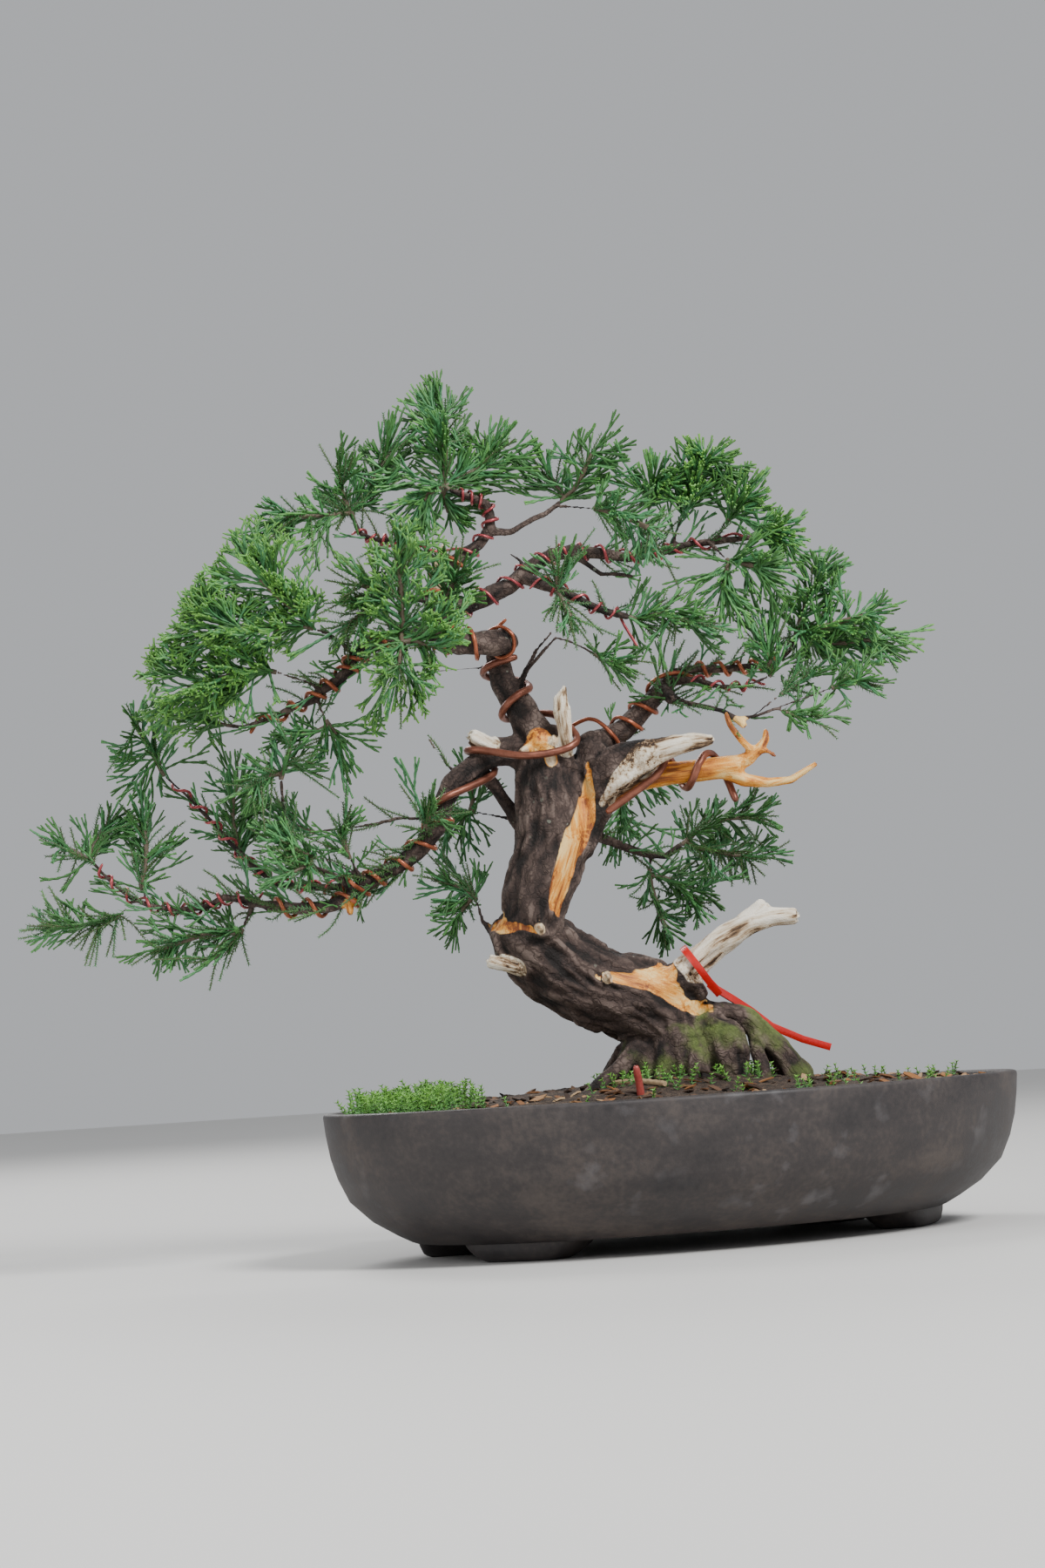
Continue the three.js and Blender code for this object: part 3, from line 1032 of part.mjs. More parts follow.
function addPart(name, solid, colour, roughness, metalness = 0) {
  const mesh = solid.getMesh();
  const geometry = new THREE.BufferGeometry();
  geometry.setAttribute("position", new THREE.BufferAttribute(mesh.vertProperties, 3));
  geometry.setIndex(new THREE.BufferAttribute(mesh.triVerts, 1));
  const flat = geometry.toNonIndexed();
  flat.computeVertexNormals();
  const part = new THREE.Mesh(flat, new THREE.MeshStandardMaterial({ color: colour, roughness, metalness }));
  part.name = name;
  parts.add(part);
  return part;
}

// The wood: one solid, its limbs joined
function limbSolid({ sides, points, lump = 0 }, extra, seed) {
  const path = points.map(seen);
  if (extra > 0) {
    const last = path.length - 1;
    const firstStep = path[0].clone().sub(path[1]).normalize();
    const lastStep = path[last].clone().sub(path[last - 1]).normalize();
    path[0] = path[0].clone().addScaledVector(firstStep, extra);
    path[last] = path[last].clone().addScaledVector(lastStep, extra);
  }
  const radii = points.map((point) => point[3] + extra / Math.cos(Math.PI / sides));
  const flats = points.map((point) => point[4] ?? 1);
  return tube(path, radii, sides, { flats, lump, random: lump > 0 ? mixer(seed) : null });
}

const wood = Manifold.union(Object.values(limbs).map((limb, index) => limbSolid(limb, 0, 11 + index)));
addPart("wood", wood, 0x5b3a27, 0.9);
for (const limb of Object.values(limbs)) {
  place(
    limb.points.map(seen),
    limb.points.map((point) => point[3]),
    "wood",
  );
}

// The cable tie: a strap round the foot of the jin, its head and its tail
function strap(path, closed) {
  const count = path.length;
  const middle = path.reduce((sum, point) => sum.add(point), new THREE.Vector3()).divideScalar(count);
  const across = closed ? seenDirection(tieLoop.along) : null;
  const rings = path.map((point, index) => {
    const before = path[closed ? (index + count - 1) % count : Math.max(index - 1, 0)];
    const after = path[closed ? (index + 1) % count : Math.min(index + 1, count - 1)];
    const along = after.clone().sub(before).normalize();
    const wide = across ? across.clone() : new THREE.Vector3(0, 0, 1);
    wide.addScaledVector(along, -wide.dot(along)).normalize();
    const thick = new THREE.Vector3().crossVectors(along, wide);
    return [
      [-1, -1],
      [1, -1],
      [1, 1],
      [-1, 1],
    ].map(([u, v]) =>
      point
        .clone()
        .addScaledVector(wide, (u * tieWidth) / 2)
        .addScaledVector(thick, (v * tieThickness) / 2),
    );
  });
  return closed ? loopSolid(rings) : ringed(rings, path[0], path[count - 1]);
}

function seenDirection([across, up, behind]) {
  const middle = [0, 200, 0];
  const end = [across, up + 200, behind];
  return seen(end).sub(seen(middle)).normalize();
}

function loopSolid(rings) {
  const corners = rings[0].length;
  const faces = [];
  for (let ring = 0; ring < rings.length; ring += 1) {
    for (let corner = 0; corner < corners; corner += 1) {
      const next = (corner + 1) % corners;
      const low = ring * corners;
      const high = ((ring + 1) % rings.length) * corners;
      faces.push(low + corner, low + next, high + next);
      faces.push(low + corner, high + next, high + corner);
    }
  }
  return solidFrom(new THREE.BufferGeometry().setFromPoints(rings.flat()).setIndex(faces));
}

function tieLoopPath(count) {
  const [across, up, behind] = tieLoop.middle;
  const [alongAcross, alongUp] = tieLoop.along;
  const path = [];
  for (let step = 0; step < count; step += 1) {
    const angle = (2 * Math.PI * step) / count;
    const sideways = tieLoop.halfWidth * Math.cos(angle);
    path.push(seen([across + alongUp * sideways, up - alongAcross * sideways, behind - tieLoop.halfDepth * Math.sin(angle)]));
  }
  return path;
}

const loopPath = tieLoopPath(16);
clearPath(loopPath, tieWidth / 2);
const wantedHead = seen(tieHead);
const headPlace = loopPath
  .toSorted((one, other) => one.distanceTo(wantedHead) - other.distanceTo(wantedHead))[0]
  .clone();
const loopMiddle = middleOf(loopPath);
headPlace.addScaledVector(headPlace.clone().sub(loopMiddle).normalize(), 2);
const tailPath = [headPlace, ...tieTail.map(seen)];
const head = new THREE.BoxGeometry(6.5, 5, 5).rotateY(50 * degrees).translate(headPlace.x, headPlace.y, headPlace.z);
const tie = Manifold.union([strap(loopPath, true), solidFrom(head), strap(tailPath, false)]);
addPart("cable_tie", tie, 0xb5252b, 0.45);
place([...loopPath, loopPath[0]], Array(loopPath.length + 1).fill(tieWidth * 0.55), "cable_tie");
place(tailPath, Array(tailPath.length).fill(tieWidth * 0.55), "cable_tie");
place([headPlace, tailPath[0]], [5, 3], "cable_tie");

const anchorPath = anchorWire.map(seen);
addPart("anchor_wire", tube(anchorPath, Array(anchorPath.length).fill(2), 6), 0xb0605a, 0.4, 0.6);
place(anchorPath, Array(anchorPath.length).fill(2), "anchor_wire");

// The pot: rings of the wall's outside from the bottom up, over the lip, and down the inside
function ovalRing(inset, height, sides) {
  const ring = [];
  for (let corner = 0; corner < sides; corner += 1) {
    const angle = (2 * Math.PI * corner) / sides;
    const x = (potLength / 2 - inset) * Math.cos(angle);
    const y = (potWidth / 2 - inset) * Math.sin(angle);
    ring.push(new THREE.Vector3(x, y, height));
  }
  return ring;
}

// Turns and shifts what is made round the pot's middle to where the pot stands under the tree
function turned(solid) {
  return solid.rotate([0, 0, potTurn / degrees]).translate([potShift, 0, 0]);
}

// How far the inside of the wall stands in from the rim's edge at a height
function insideInset(height) {
  const depth = potHeight - height;
  const steps = wallInside;
  for (let index = 0; index < steps.length - 1; index += 1) {
    const [upperDepth, upperInset] = steps[index];
    const [lowerDepth, lowerInset] = steps[index + 1];
    if (depth <= lowerDepth) {
      return upperInset + ((lowerInset - upperInset) * (depth - upperDepth)) / (lowerDepth - upperDepth);
    }
  }
  return steps[steps.length - 1][1];
}

const outside = wallInset.map(([depth, inset]) => ovalRing(inset, potHeight - depth, potSides));
const inside = wallInside.map(([depth, inset]) => ovalRing(inset, potHeight - depth, potSides));
const bottomMiddle = new THREE.Vector3(0, 0, footHeight);
const floorHeight = footHeight + floorThickness;
const floorMiddle = new THREE.Vector3(0, 0, floorHeight);
const bowl = ringed([...outside, ...inside], bottomMiddle, floorMiddle);

// One foot follows the edge of the pot's base, and narrows towards the ground
function foot(middleAngle) {
  const baseLength = potLength / 2 - wallInset[0][1];
  const baseWidth = potWidth / 2 - wallInset[0][1];
  const levels = [
    [0, 0.58, 0.97, 0.8],
    [2.5, 0.68, 0.99, 0.78],
    [footHeight + 3, 1, 1, 0.74],
  ];
  const rings = levels.map(([height, spanShare, outer, inner]) => {
    const ring = [];
    for (let step = -2; step <= 2; step += 1) {
      const corner = Math.abs(step) === 2 ? 0.985 : 1;
      const angle = middleAngle + (footHalfSpan * spanShare * step) / 2;
      ring.push(
        new THREE.Vector3(baseLength * outer * corner * Math.cos(angle), baseWidth * outer * corner * Math.sin(angle), height),
      );
    }
    for (let step = 2; step >= -2; step -= 2) {
      const angle = middleAngle + (footHalfSpan * spanShare * 0.9 * step) / 2;
      ring.push(new THREE.Vector3(baseLength * inner * Math.cos(angle), baseWidth * inner * Math.sin(angle), height));
    }
    return ring;
  });
  return ringed(rings, middleOf(rings[0]), middleOf(rings[2]));
}

function post(radius, sides, bottom, top, x) {
  const cylinder = new THREE.CylinderGeometry(radius, radius, top - bottom, sides);
  return solidFrom(cylinder.rotateX(90 * degrees).translate(x, 0, (top + bottom) / 2));
}

const feet = [footMiddle, Math.PI - footMiddle, Math.PI + footMiddle, -footMiddle].map(foot);
const drainHoles = [-drainHoleOffset, drainHoleOffset].map((x) => post(drainHoleRadius, 14, 5, 25, x));
let pot = Manifold.union([bowl, ...feet]);
for (const hole of drainHoles) {
  pot = pot.subtract(hole);
}
addPart("pot", turned(pot), 0x4b4442, 0.8);

// A drainage screen: a plastic plate with a grid of square holes
function screen(x) {
  const bottom = floorHeight + gap;
  const box = (width, depth, middleX, middleY, thickness) => {
    const geometry = new THREE.BoxGeometry(width, depth, thickness);
    return solidFrom(geometry.translate(x + middleX, middleY, bottom + screenThickness / 2));
  };
  let plate = box(screenWidth, screenWidth, 0, 0, screenThickness);
  const spacing = screenWidth / 2 - 1;
  for (const row of [-0.5, 0.5]) {
    for (const column of [-0.5, 0.5]) {
      plate = plate.subtract(box(spacing - 3, spacing - 3, row * spacing, column * spacing, screenThickness * 3));
    }
  }
  return turned(plate);
}

addPart("drainage_screen_left", screen(-drainHoleOffset), 0x23282a, 0.6);
addPart("drainage_screen_right", screen(drainHoleOffset), 0x23282a, 0.6);

// The soil fills the pot up to a low mound, and holds the roots and the wire in plain holes
function soilHeight(share, angle, random) {
  const mound = potHeight - soilBelowRim + soilMound * (1 - share ** 2);
  const slope = 1.2 * Math.sin(3 * angle + 1) * share * (1 - share) * 2;
  return mound + slope + soilRoughness * (random() - 0.5) * (share > 0.98 ? 0.4 : 1);
}

const soilRandom = mixer(77);
const soilWall = [floorHeight + gap, 26, 35, 60].map((height) =>
  ovalRing(insideInset(height - gap) + gap + 0.1, height, potSides),
);
const soilTop = [1, 0.84, 0.62, 0.4].map((share) =>
  ovalRing(insideInset(potHeight - soilBelowRim) + gap + 0.3, 0, potSides).map((corner, index) => {
    const angle = (2 * Math.PI * index) / potSides;
    return new THREE.Vector3(corner.x * share, corner.y * share, soilHeight(share, angle, soilRandom));
  }),
);
const soilBottomMiddle = new THREE.Vector3(0, 0, floorHeight + gap);
const soilTopMiddle = new THREE.Vector3(0, 0, potHeight - soilBelowRim + soilMound);
let soil = turned(ringed([...soilWall, ...soilTop], soilBottomMiddle, soilTopMiddle));
for (const x of [-drainHoleOffset, drainHoleOffset]) {
  const width = screenWidth + 2 * gap;
  const recess = new THREE.BoxGeometry(width, width, 2 * (screenThickness + 2 * gap));
  soil = soil.subtract(turned(solidFrom(recess.translate(x, 0, floorHeight + gap))));
}
const underground = ["lowerTrunk", "rootLeft", "rootKnob", "burl", "rootRight", "rootBackLeft", "rootBackRight"];
for (const name of underground) {
  soil = soil.subtract(limbSolid({ ...limbs[name], lump: 0 }, gap + 0.05, 0));
}
const anchorHole = [seen([-14.8, 64.5, -100]), ...anchorPath.slice(1)];
soil = soil.subtract(tube(anchorHole, Array(anchorHole.length).fill(2 + gap + 0.3), 6));
addPart("soil", soil, 0x4b3a2b, 0.95);

for (const [name, wire] of Object.entries(wires)) {
  const path = wirePath(wire);
  clearPath(path, wire.radius);
  const radii = Array(path.length).fill(wire.radius);
  addPart(name, tube(path, radii, wire.sides), wire.radius > 2 ? 0x8a5a3c : 0xb46a4a, 0.4, 0.8);
  place(path, radii, name);
}

// The leafy sprays. They are laid out in the seen frame and then put in place.
function vectorAt(point) {
  return new THREE.Vector3(point[0], point[1], point[2]);
}

function inPlace(point) {
  return seen([point.x, point.y, point.z]);
}

// The path of a stem. The first one begins square to the end of its twig, a hair's breadth from it.
function stemPath({ from, stems }, order) {
  const points = limbs[from].points;
  const end = vectorAt(points[points.length - 1]);
  const out = end
    .clone()
    .sub(vectorAt(points[points.length - 2]))
    .normalize();
  const path = stems[order].map(vectorAt);
  if (order === 0) {
    path.unshift(end.clone().addScaledVector(out, 0.5), end.clone().addScaledVector(out, 3.7));
  }
  return path;
}

function walk(path, distance) {
  let left = distance;
  for (let index = 0; index < path.length - 1; index += 1) {
    const length = path[index].distanceTo(path[index + 1]);
    if (left <= length || index === path.length - 2) {
      return path[index].clone().lerp(path[index + 1], left / length);
    }
    left -= length;
  }
  return path[path.length - 1].clone();
}

function lengthOf(path) {
  return path.slice(1).reduce((sum, point, index) => sum + point.distanceTo(path[index]), 0);
}

// A three-sided body that grows from a triangle of its parent, ring by ring, and ends in a point. Short
// collars along it hold the triangles that further shoots can grow from.
function grow(spray, base, path, radii, collarRings, tip) {
  const centre = base ? middleOf(base.map((corner) => spray.corners[corner])) : path[0];
  const spine = base ? [centre, ...path] : path;
  const startNormal = base ? spray.corners[base[0]].clone().sub(centre) : startNormalFor(spine);
  let ring = base;
  for (const [index, { point, along, normal, side }] of frames(spine, startNormal).entries()) {
    if (base && index === 0) {
      continue;
    }
    const step = base ? index - 1 : index;
    const next = [0, 1, 2].map((corner) => {
      const angle = (2 * Math.PI * corner) / 3;
      spray.corners.push(
        point
          .clone()
          .addScaledVector(normal, radii[step] * Math.cos(angle))
          .addScaledVector(side, radii[step] * Math.sin(angle)),
      );
      return spray.corners.length - 1;
    });
    if (!ring) {
      spray.faces.push([next[2], next[1], next[0]]);
    } else {
      for (let corner = 0; corner < 3; corner += 1) {
        const other = (corner + 1) % 3;
        const halves = [
          [ring[corner], ring[other], next[other]],
          [ring[corner], next[other], next[corner]],
        ];
        if (collarRings.has(step)) {
          spray.buds.push({ halves, along: along.clone(), stem: spray.stems.length });
        } else {
          spray.faces.push(...halves);
        }
      }
    }
    ring = next;
  }
  spray.corners.push(tip);
  const top = spray.corners.length - 1;
  for (let corner = 0; corner < 3; corner += 1) {
    spray.faces.push([ring[corner], ring[(corner + 1) % 3], top]);
  }
}

function outwardOf(spray, triangle) {
  const [first, second, third] = triangle.map((corner) => spray.corners[corner]);
  const toSecond = second.clone().sub(first);
  const toThird = third.clone().sub(first);
  return toSecond.cross(toThird).normalize();
}

// The free triangle that suits a tip best: near it, behind it along the stem, and facing it
function budFor(spray, tip, stem) {
  let best = null;
  for (const bud of spray.buds) {
    if (bud.used || (stem !== undefined && bud.stem !== stem)) {
      continue;
    }
    for (const triangle of bud.halves) {
      const root = middleOf(triangle.map((corner) => spray.corners[corner]));
      const run = tip.clone().sub(root);
      const length = run.length();
      const facing = run.dot(outwardOf(spray, triangle)) / length;
      if (facing < 0.2) {
        continue;
      }
      const cost = length - 0.6 * run.dot(bud.along) + (1 - facing) * 6;
      if (!best || cost < best.cost) {
        best = { cost, bud, triangle, root, length };
      }
    }
  }
  return best;
}

// The least space between a shoot and the rest of its own spray, away from their roots
function ownSpace(spray, path, radii) {
  let least = Infinity;
  for (let index = 0; index < path.length - 1; index += 1) {
    const steps = Math.ceil(path[index].distanceTo(path[index + 1]) / 1);
    for (let step = 0; step <= steps; step += 1) {
      const point = path[index].clone().lerp(path[index + 1], step / steps);
      const fromRoot = point.distanceTo(path[0]);
      if (fromRoot < 2.2) {
        continue;
      }
      const radius = radii[index] + ((radii[index + 1] - radii[index]) * step) / steps;
      for (const cone of spray.cones) {
        least = Math.min(least, spaceTo(point, cone).space - radius);
      }
    }
  }
  return least;
}

// Turns a shoot aside, a little more with each try, until it clears everything else
function clearShoot(spray, choice, tip, bow, tries) {
  const { root, triangle } = choice;
  const run = tip.clone().sub(root);
  const length = run.length();
  const along = run.clone().normalize();
  const side = new THREE.Vector3().crossVectors(along, new THREE.Vector3(0.1, 0.3, 1)).normalize();
  const rise = new THREE.Vector3().crossVectors(side, along);
  const outward = outwardOf(spray, triangle);
  for (let attempt = 0; attempt < tries; attempt += 1) {
    const angle = attempt * 2.4;
    const shift = length * 0.05 * attempt;
    const end = tip
      .clone()
      .addScaledVector(side, shift * Math.cos(angle))
      .addScaledVector(rise, shift * Math.sin(angle))
      .addScaledVector(along, -shift * 0.3);
    const middle = root.clone().lerp(end, 0.5);
    middle.z -= bow * length;
    const path = bow > 0 ? [root, middle, end] : [root, end];
    const radii = bow > 0 ? [shootRadius, shootMiddleRadius, 0.1] : [shootRadius, 0.1];
    const leaves = path[1].clone().sub(root).normalize().dot(outward);
    if (leaves > 0.15 && leastSpace(path, radii, spray.name) > gap && ownSpace(spray, path, radii) > 0.15) {
      return { path, radii };
    }
  }
  return null;
}

function addShoot(spray, tip, bow, tries) {
  const choice = budFor(spray, tip);
  const shoot = choice && clearShoot(spray, choice, tip, bow, tries);
  if (!shoot) {
    return false;
  }
  const { path, radii } = shoot;
  const middles = path.slice(1, -1);
  choice.bud.used = choice.triangle;
  grow(spray, choice.triangle, middles, radii.slice(1), new Set(), path[path.length - 1]);
  for (let index = 0; index < path.length - 1; index += 1) {
    spray.cones.push({
      start: path[index],
      end: path[index + 1],
      startRadius: radii[index],
      endRadius: radii[index + 1],
    });
  }
  place(path, radii, spray.name);
  return true;
}

// A stem ends in the noted tip that lies best ahead of it, or runs straight on where there is none
function endTip(spray, layout, path) {
  const end = path[path.length - 1];
  const out = end
    .clone()
    .sub(path[path.length - 2])
    .normalize();
  let best = { cost: layout.reach[1] * 1.6, index: -1 };
  for (const [index, [across, up, behind]] of layout.tips.entries()) {
    if (spray.usedTips.has(index)) {
      continue;
    }
    const tip = seen([across, up, behind ?? 0]);
    if (behind === undefined) {
      const run = end.clone().sub(tip);
      tip.addScaledVector(awayFromEye, run.dot(awayFromEye));
    }
    const run = tip.clone().sub(end);
    const turn = run.length() * (2 - run.dot(out) / run.length());
    if (run.dot(out) > 0.55 * run.length() && turn < best.cost) {
      best = { cost: turn, index, tip };
    }
  }
  if (best.index < 0) {
    return end.clone().addScaledVector(out, layout.reach[0]);
  }
  spray.usedTips.add(best.index);
  return best.tip;
}

function addStem(spray, layout, order) {
  const path = stemPath(layout, order).map(inPlace);
  const choice = order === 0 ? null : budFor(spray, path[0], 0);
  if (order > 0 && !choice) {
    return;
  }
  const whole = choice ? [choice.root, ...path] : path;
  const length = lengthOf(whole);
  const count = Math.max(1, Math.round((length - 4) / collarSpacing));
  const places = choice ? [] : [0];
  const collarRings = new Set();
  for (let collar = 0; collar < count; collar += 1) {
    const firstPlace = choice ? 6 : 4;
    const distance = firstPlace + ((length - 2 - firstPlace) * collar) / Math.max(count - 0.6, 1);
    places.push(distance - collarLength / 2, distance + collarLength / 2);
    collarRings.add(places.length - 1);
  }
  const rings = places.map((distance) => walk(whole, distance));
  const radii = places.map((distance) => stemRadius * (1 - (0.25 * distance) / length));
  const tip = endTip(spray, layout, whole);
  const line = [...(choice ? [choice.root] : []), ...rings, tip];
  const lineRadii = [...(choice ? [stemRadius] : []), ...radii, 0.1];
  if (choice) {
    choice.bud.used = choice.triangle;
  }
  grow(spray, choice?.triangle, rings, radii, collarRings, tip);
  spray.stems.push(line);
  for (let index = 0; index < line.length - 1; index += 1) {
    spray.cones.push({
      start: line[index],
      end: line[index + 1],
      startRadius: lineRadii[index],
      endRadius: lineRadii[index + 1],
    });
  }
  place(line, lineRadii, spray.name);
}

function spraySolid(name, layout, random) {
  const spray = { name, corners: [], faces: [], buds: [], stems: [], cones: [], usedTips: new Set() };
  for (let order = 0; order < layout.stems.length; order += 1) {
    addStem(spray, layout, order);
  }
  for (const [index, [across, up, behind]] of layout.tips.entries()) {
    const draws = [random(), random()];
    if (spray.usedTips.has(index)) {
      continue;
    }
    const flat = spray.stems
      .flat()
      .map((point) => ({ point, distance: point.distanceTo(seen([across, up, behind ?? layout.stems[0][0][2]])) }));
    flat.sort((one, other) => one.distance - other.distance);
    const shallow = layout.stems[0][0][2];
    const depth = behind ?? shallow + (flat[0].point.y - seen([across, up, shallow]).y) + (draws[0] - 0.5) * 14;
    addShoot(spray, seen([across, up, depth]), 0.05 + 0.06 * draws[1], 9);
  }
  for (const bud of [...spray.buds]) {
    const draws = [random(), random(), random()];
    if (bud.used) {
      continue;
    }
    const triangle = bud.halves[draws[0] < 0.5 ? 0 : 1];
    const root = middleOf(triangle.map((corner) => spray.corners[corner]));
    const lean = (35 + 25 * draws[1]) * degrees;
    const length = layout.reach[0] + (layout.reach[1] - layout.reach[0]) * draws[2];
    const tip = root
      .clone()
      .addScaledVector(bud.along, length * Math.cos(lean))
      .addScaledVector(outwardOf(spray, triangle), length * Math.sin(lean));
    const shoot = clearShoot(spray, { root, triangle }, tip, 0, 7);
    if (!shoot) {
      continue;
    }
    bud.used = triangle;
    grow(spray, triangle, [], [], new Set(), shoot.path[1]);
    spray.cones.push({
      start: shoot.path[0],
      end: shoot.path[1],
      startRadius: shoot.radii[0],
      endRadius: shoot.radii[1],
    });
    place(shoot.path, shoot.radii, name);
  }
  for (const bud of spray.buds) {
    spray.faces.push(...bud.halves.filter((triangle) => triangle !== bud.used));
  }
  return solidFrom(new THREE.BufferGeometry().setFromPoints(spray.corners).setIndex(spray.faces.flat()));
}

for (const [index, [name, layout]] of Object.entries(sprays).entries()) {
  addPart(name, spraySolid(name, layout, mixer(501 + 37 * index)), 0x4f7350, 0.75);
}
const bounds = new THREE.Box3().setFromObject(parts);
parts.position.set(-(bounds.min.x + bounds.max.x) / 2, -(bounds.min.y + bounds.max.y) / 2, -bounds.min.z);

export default parts;
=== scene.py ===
# %% [markdown]
# A juniper trained as a bonsai, in its oval clay pot. The solid model already holds every limb, wire and
# spray at its real size. This script gives them their looks: flaking bark, peeled and weathered wood,
# copper wire, cords of scale leaves and awl needles, unglazed clay, soil and moss. Most pieces are worked
# out from the solids they dress, so they keep those solids' places and forms.

# %% Load the frame
import heapq
import math

import bmesh
import bpy
import numpy as np
from mathutils import Matrix, Vector, noise
from mathutils.bvhtree import BVHTree
from mathutils.kdtree import KDTree


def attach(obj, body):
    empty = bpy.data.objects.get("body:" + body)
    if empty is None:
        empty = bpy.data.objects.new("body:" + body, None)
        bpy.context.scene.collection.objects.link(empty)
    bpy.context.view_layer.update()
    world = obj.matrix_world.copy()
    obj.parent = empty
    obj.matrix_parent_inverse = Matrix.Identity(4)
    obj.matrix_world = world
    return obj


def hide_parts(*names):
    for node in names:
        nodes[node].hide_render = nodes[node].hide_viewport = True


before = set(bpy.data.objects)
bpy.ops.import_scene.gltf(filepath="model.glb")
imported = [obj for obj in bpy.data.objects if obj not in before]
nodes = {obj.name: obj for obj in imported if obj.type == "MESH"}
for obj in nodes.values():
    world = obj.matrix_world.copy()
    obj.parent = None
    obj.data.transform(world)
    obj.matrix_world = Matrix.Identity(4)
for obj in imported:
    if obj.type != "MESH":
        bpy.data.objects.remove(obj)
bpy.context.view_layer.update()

MM = 0.001
print("solids in the frame:", len(nodes))

# %% [markdown]
# The tree is laid out as the photograph sees it: across, up and behind a plane through the pot's middle,
# in millimetres, from an eye 2 m away. The pot leans a little in the picture, so a roll and a pitch bring
# seen places to the level frame. The camera stands where that eye is. An 80 mm lens on a 36 mm frame
# gives the picture's angle.

# %% Seen places and the camera
EYE_DISTANCE = 2000.0
EYE_ACROSS = -85.0
EYE_UP = 262.0
POT_ROLL = math.radians(3.6)
POT_PITCH = math.radians(4.2)
TREE_SHIFT = 73.9965
PICTURE_WIDTH = 1200
PICTURE_HEIGHT = 1800
LENS = 80.0
SENSOR = 36.0


def seen(across, up, behind=0.0):
    spread = (EYE_DISTANCE + behind) / EYE_DISTANCE
    x = EYE_ACROSS + (across - EYE_ACROSS) * spread
    z = EYE_UP + (up - EYE_UP) * spread
    level_x = x * math.cos(POT_ROLL) + z * math.sin(POT_ROLL)
    rolled_z = -x * math.sin(POT_ROLL) + z * math.cos(POT_ROLL)
    y = behind * math.cos(POT_PITCH) - rolled_z * math.sin(POT_PITCH)
    height = behind * math.sin(POT_PITCH) + rolled_z * math.cos(POT_PITCH)
    return Vector((level_x + TREE_SHIFT, y, height)) * MM


eye = seen(EYE_ACROSS, EYE_UP, -EYE_DISTANCE)
seen_right = (seen(1, 0) - seen(0, 0)).normalized()
seen_up = (seen(0, 1) - seen(0, 0)).normalized()
seen_back = seen_right.cross(seen_up)
turn = Matrix((seen_right, seen_up, seen_back)).transposed()
camera = bpy.data.objects.new("camera", bpy.data.cameras.new("camera"))
camera.data.lens = LENS
camera.data.sensor_width = SENSOR
camera.data.clip_start = 0.05
camera.matrix_world = Matrix.Translation(eye) @ turn.to_4x4()
bpy.context.scene.collection.objects.link(camera)
bpy.context.scene.camera = camera
print("camera at", [round(value, 3) for value in eye])

# %% [markdown]
# Plain studio light: a large soft key from the upper right, a weaker fill from the left, a rim from
# behind, and a pale grey surround. The floor is a plain pale disc.

# %% Light and floor
FLOOR_RADIUS = 5.0
FLOOR_SIDES = 64
FLOOR_DROP = 0.0002
LIGHTS_AIM = (0.0, 0.0, 0.25)


def linked(name, data):
    piece = bpy.data.objects.new(name, data)
    bpy.context.scene.collection.objects.link(piece)
    return piece


def softbox(name, place, size, power):
    light = bpy.data.lights.new(name, "AREA")
    light.shape = "DISK"
    light.size = size
    light.energy = power
    lamp = linked(name, light)
    lamp.location = place
    lamp.rotation_euler = (Vector(LIGHTS_AIM) - Vector(place)).to_track_quat("-Z", "Y").to_euler()


softbox("key_light", (1.2, -1.5, 1.9), size=0.9, power=82)
softbox("fill_light", (-1.9, -1.3, 1.0), size=1.5, power=17)
softbox("rim_light", (-0.7, 1.8, 1.7), size=1.2, power=34)

world = bpy.data.worlds.new("studio")
world.use_nodes = True
world.node_tree.nodes["Background"].inputs["Color"].default_value = (0.80, 0.82, 0.85, 1)
world.node_tree.nodes["Background"].inputs["Strength"].default_value = 0.6
bpy.context.scene.world = world

floor_mesh = bpy.data.meshes.new("floor")
floor_angles = [2 * math.pi * index / FLOOR_SIDES for index in range(FLOOR_SIDES)]
floor_rim = [
    (FLOOR_RADIUS * math.cos(angle), FLOOR_RADIUS * math.sin(angle), -FLOOR_DROP)
    for angle in floor_angles
]
floor_mesh.from_pydata(floor_rim, [], [tuple(range(FLOOR_SIDES))])
floor = linked("floor", floor_mesh)
floor_material = bpy.data.materials.new("pale_floor")
floor_material.use_nodes = True
floor_shader = floor_material.node_tree.nodes["Principled BSDF"]
floor_shader.inputs["Base Color"].default_value = (0.66, 0.65, 0.63, 1)
floor_shader.inputs["Roughness"].default_value = 0.7
floor_mesh.materials.append(floor_material)


# %% [markdown]
# Several finishes share an effect. Each is a node group: mottling for clay, bark and soil, and a fleck
# mask for lichen and grit. A group gives only values, and the shader stays in the material.

# %% Shared shader groups


def put(tree, kind, values=(), **settings):
    """Adds a node. A value is a constant, or another node's output to link."""
    node = tree.nodes.new(kind)
    for key, value in settings.items():
        setattr(node, key, value)
    for key, value in dict(values).items():
        if isinstance(value, bpy.types.NodeSocket):
            tree.links.new(value, node.inputs[key])
        else:
            node.inputs[key].default_value = value
    return node


def arith(tree, operation, first, second):
    return put(tree, "ShaderNodeMath", {0: first, 1: second}, operation=operation).outputs[0]


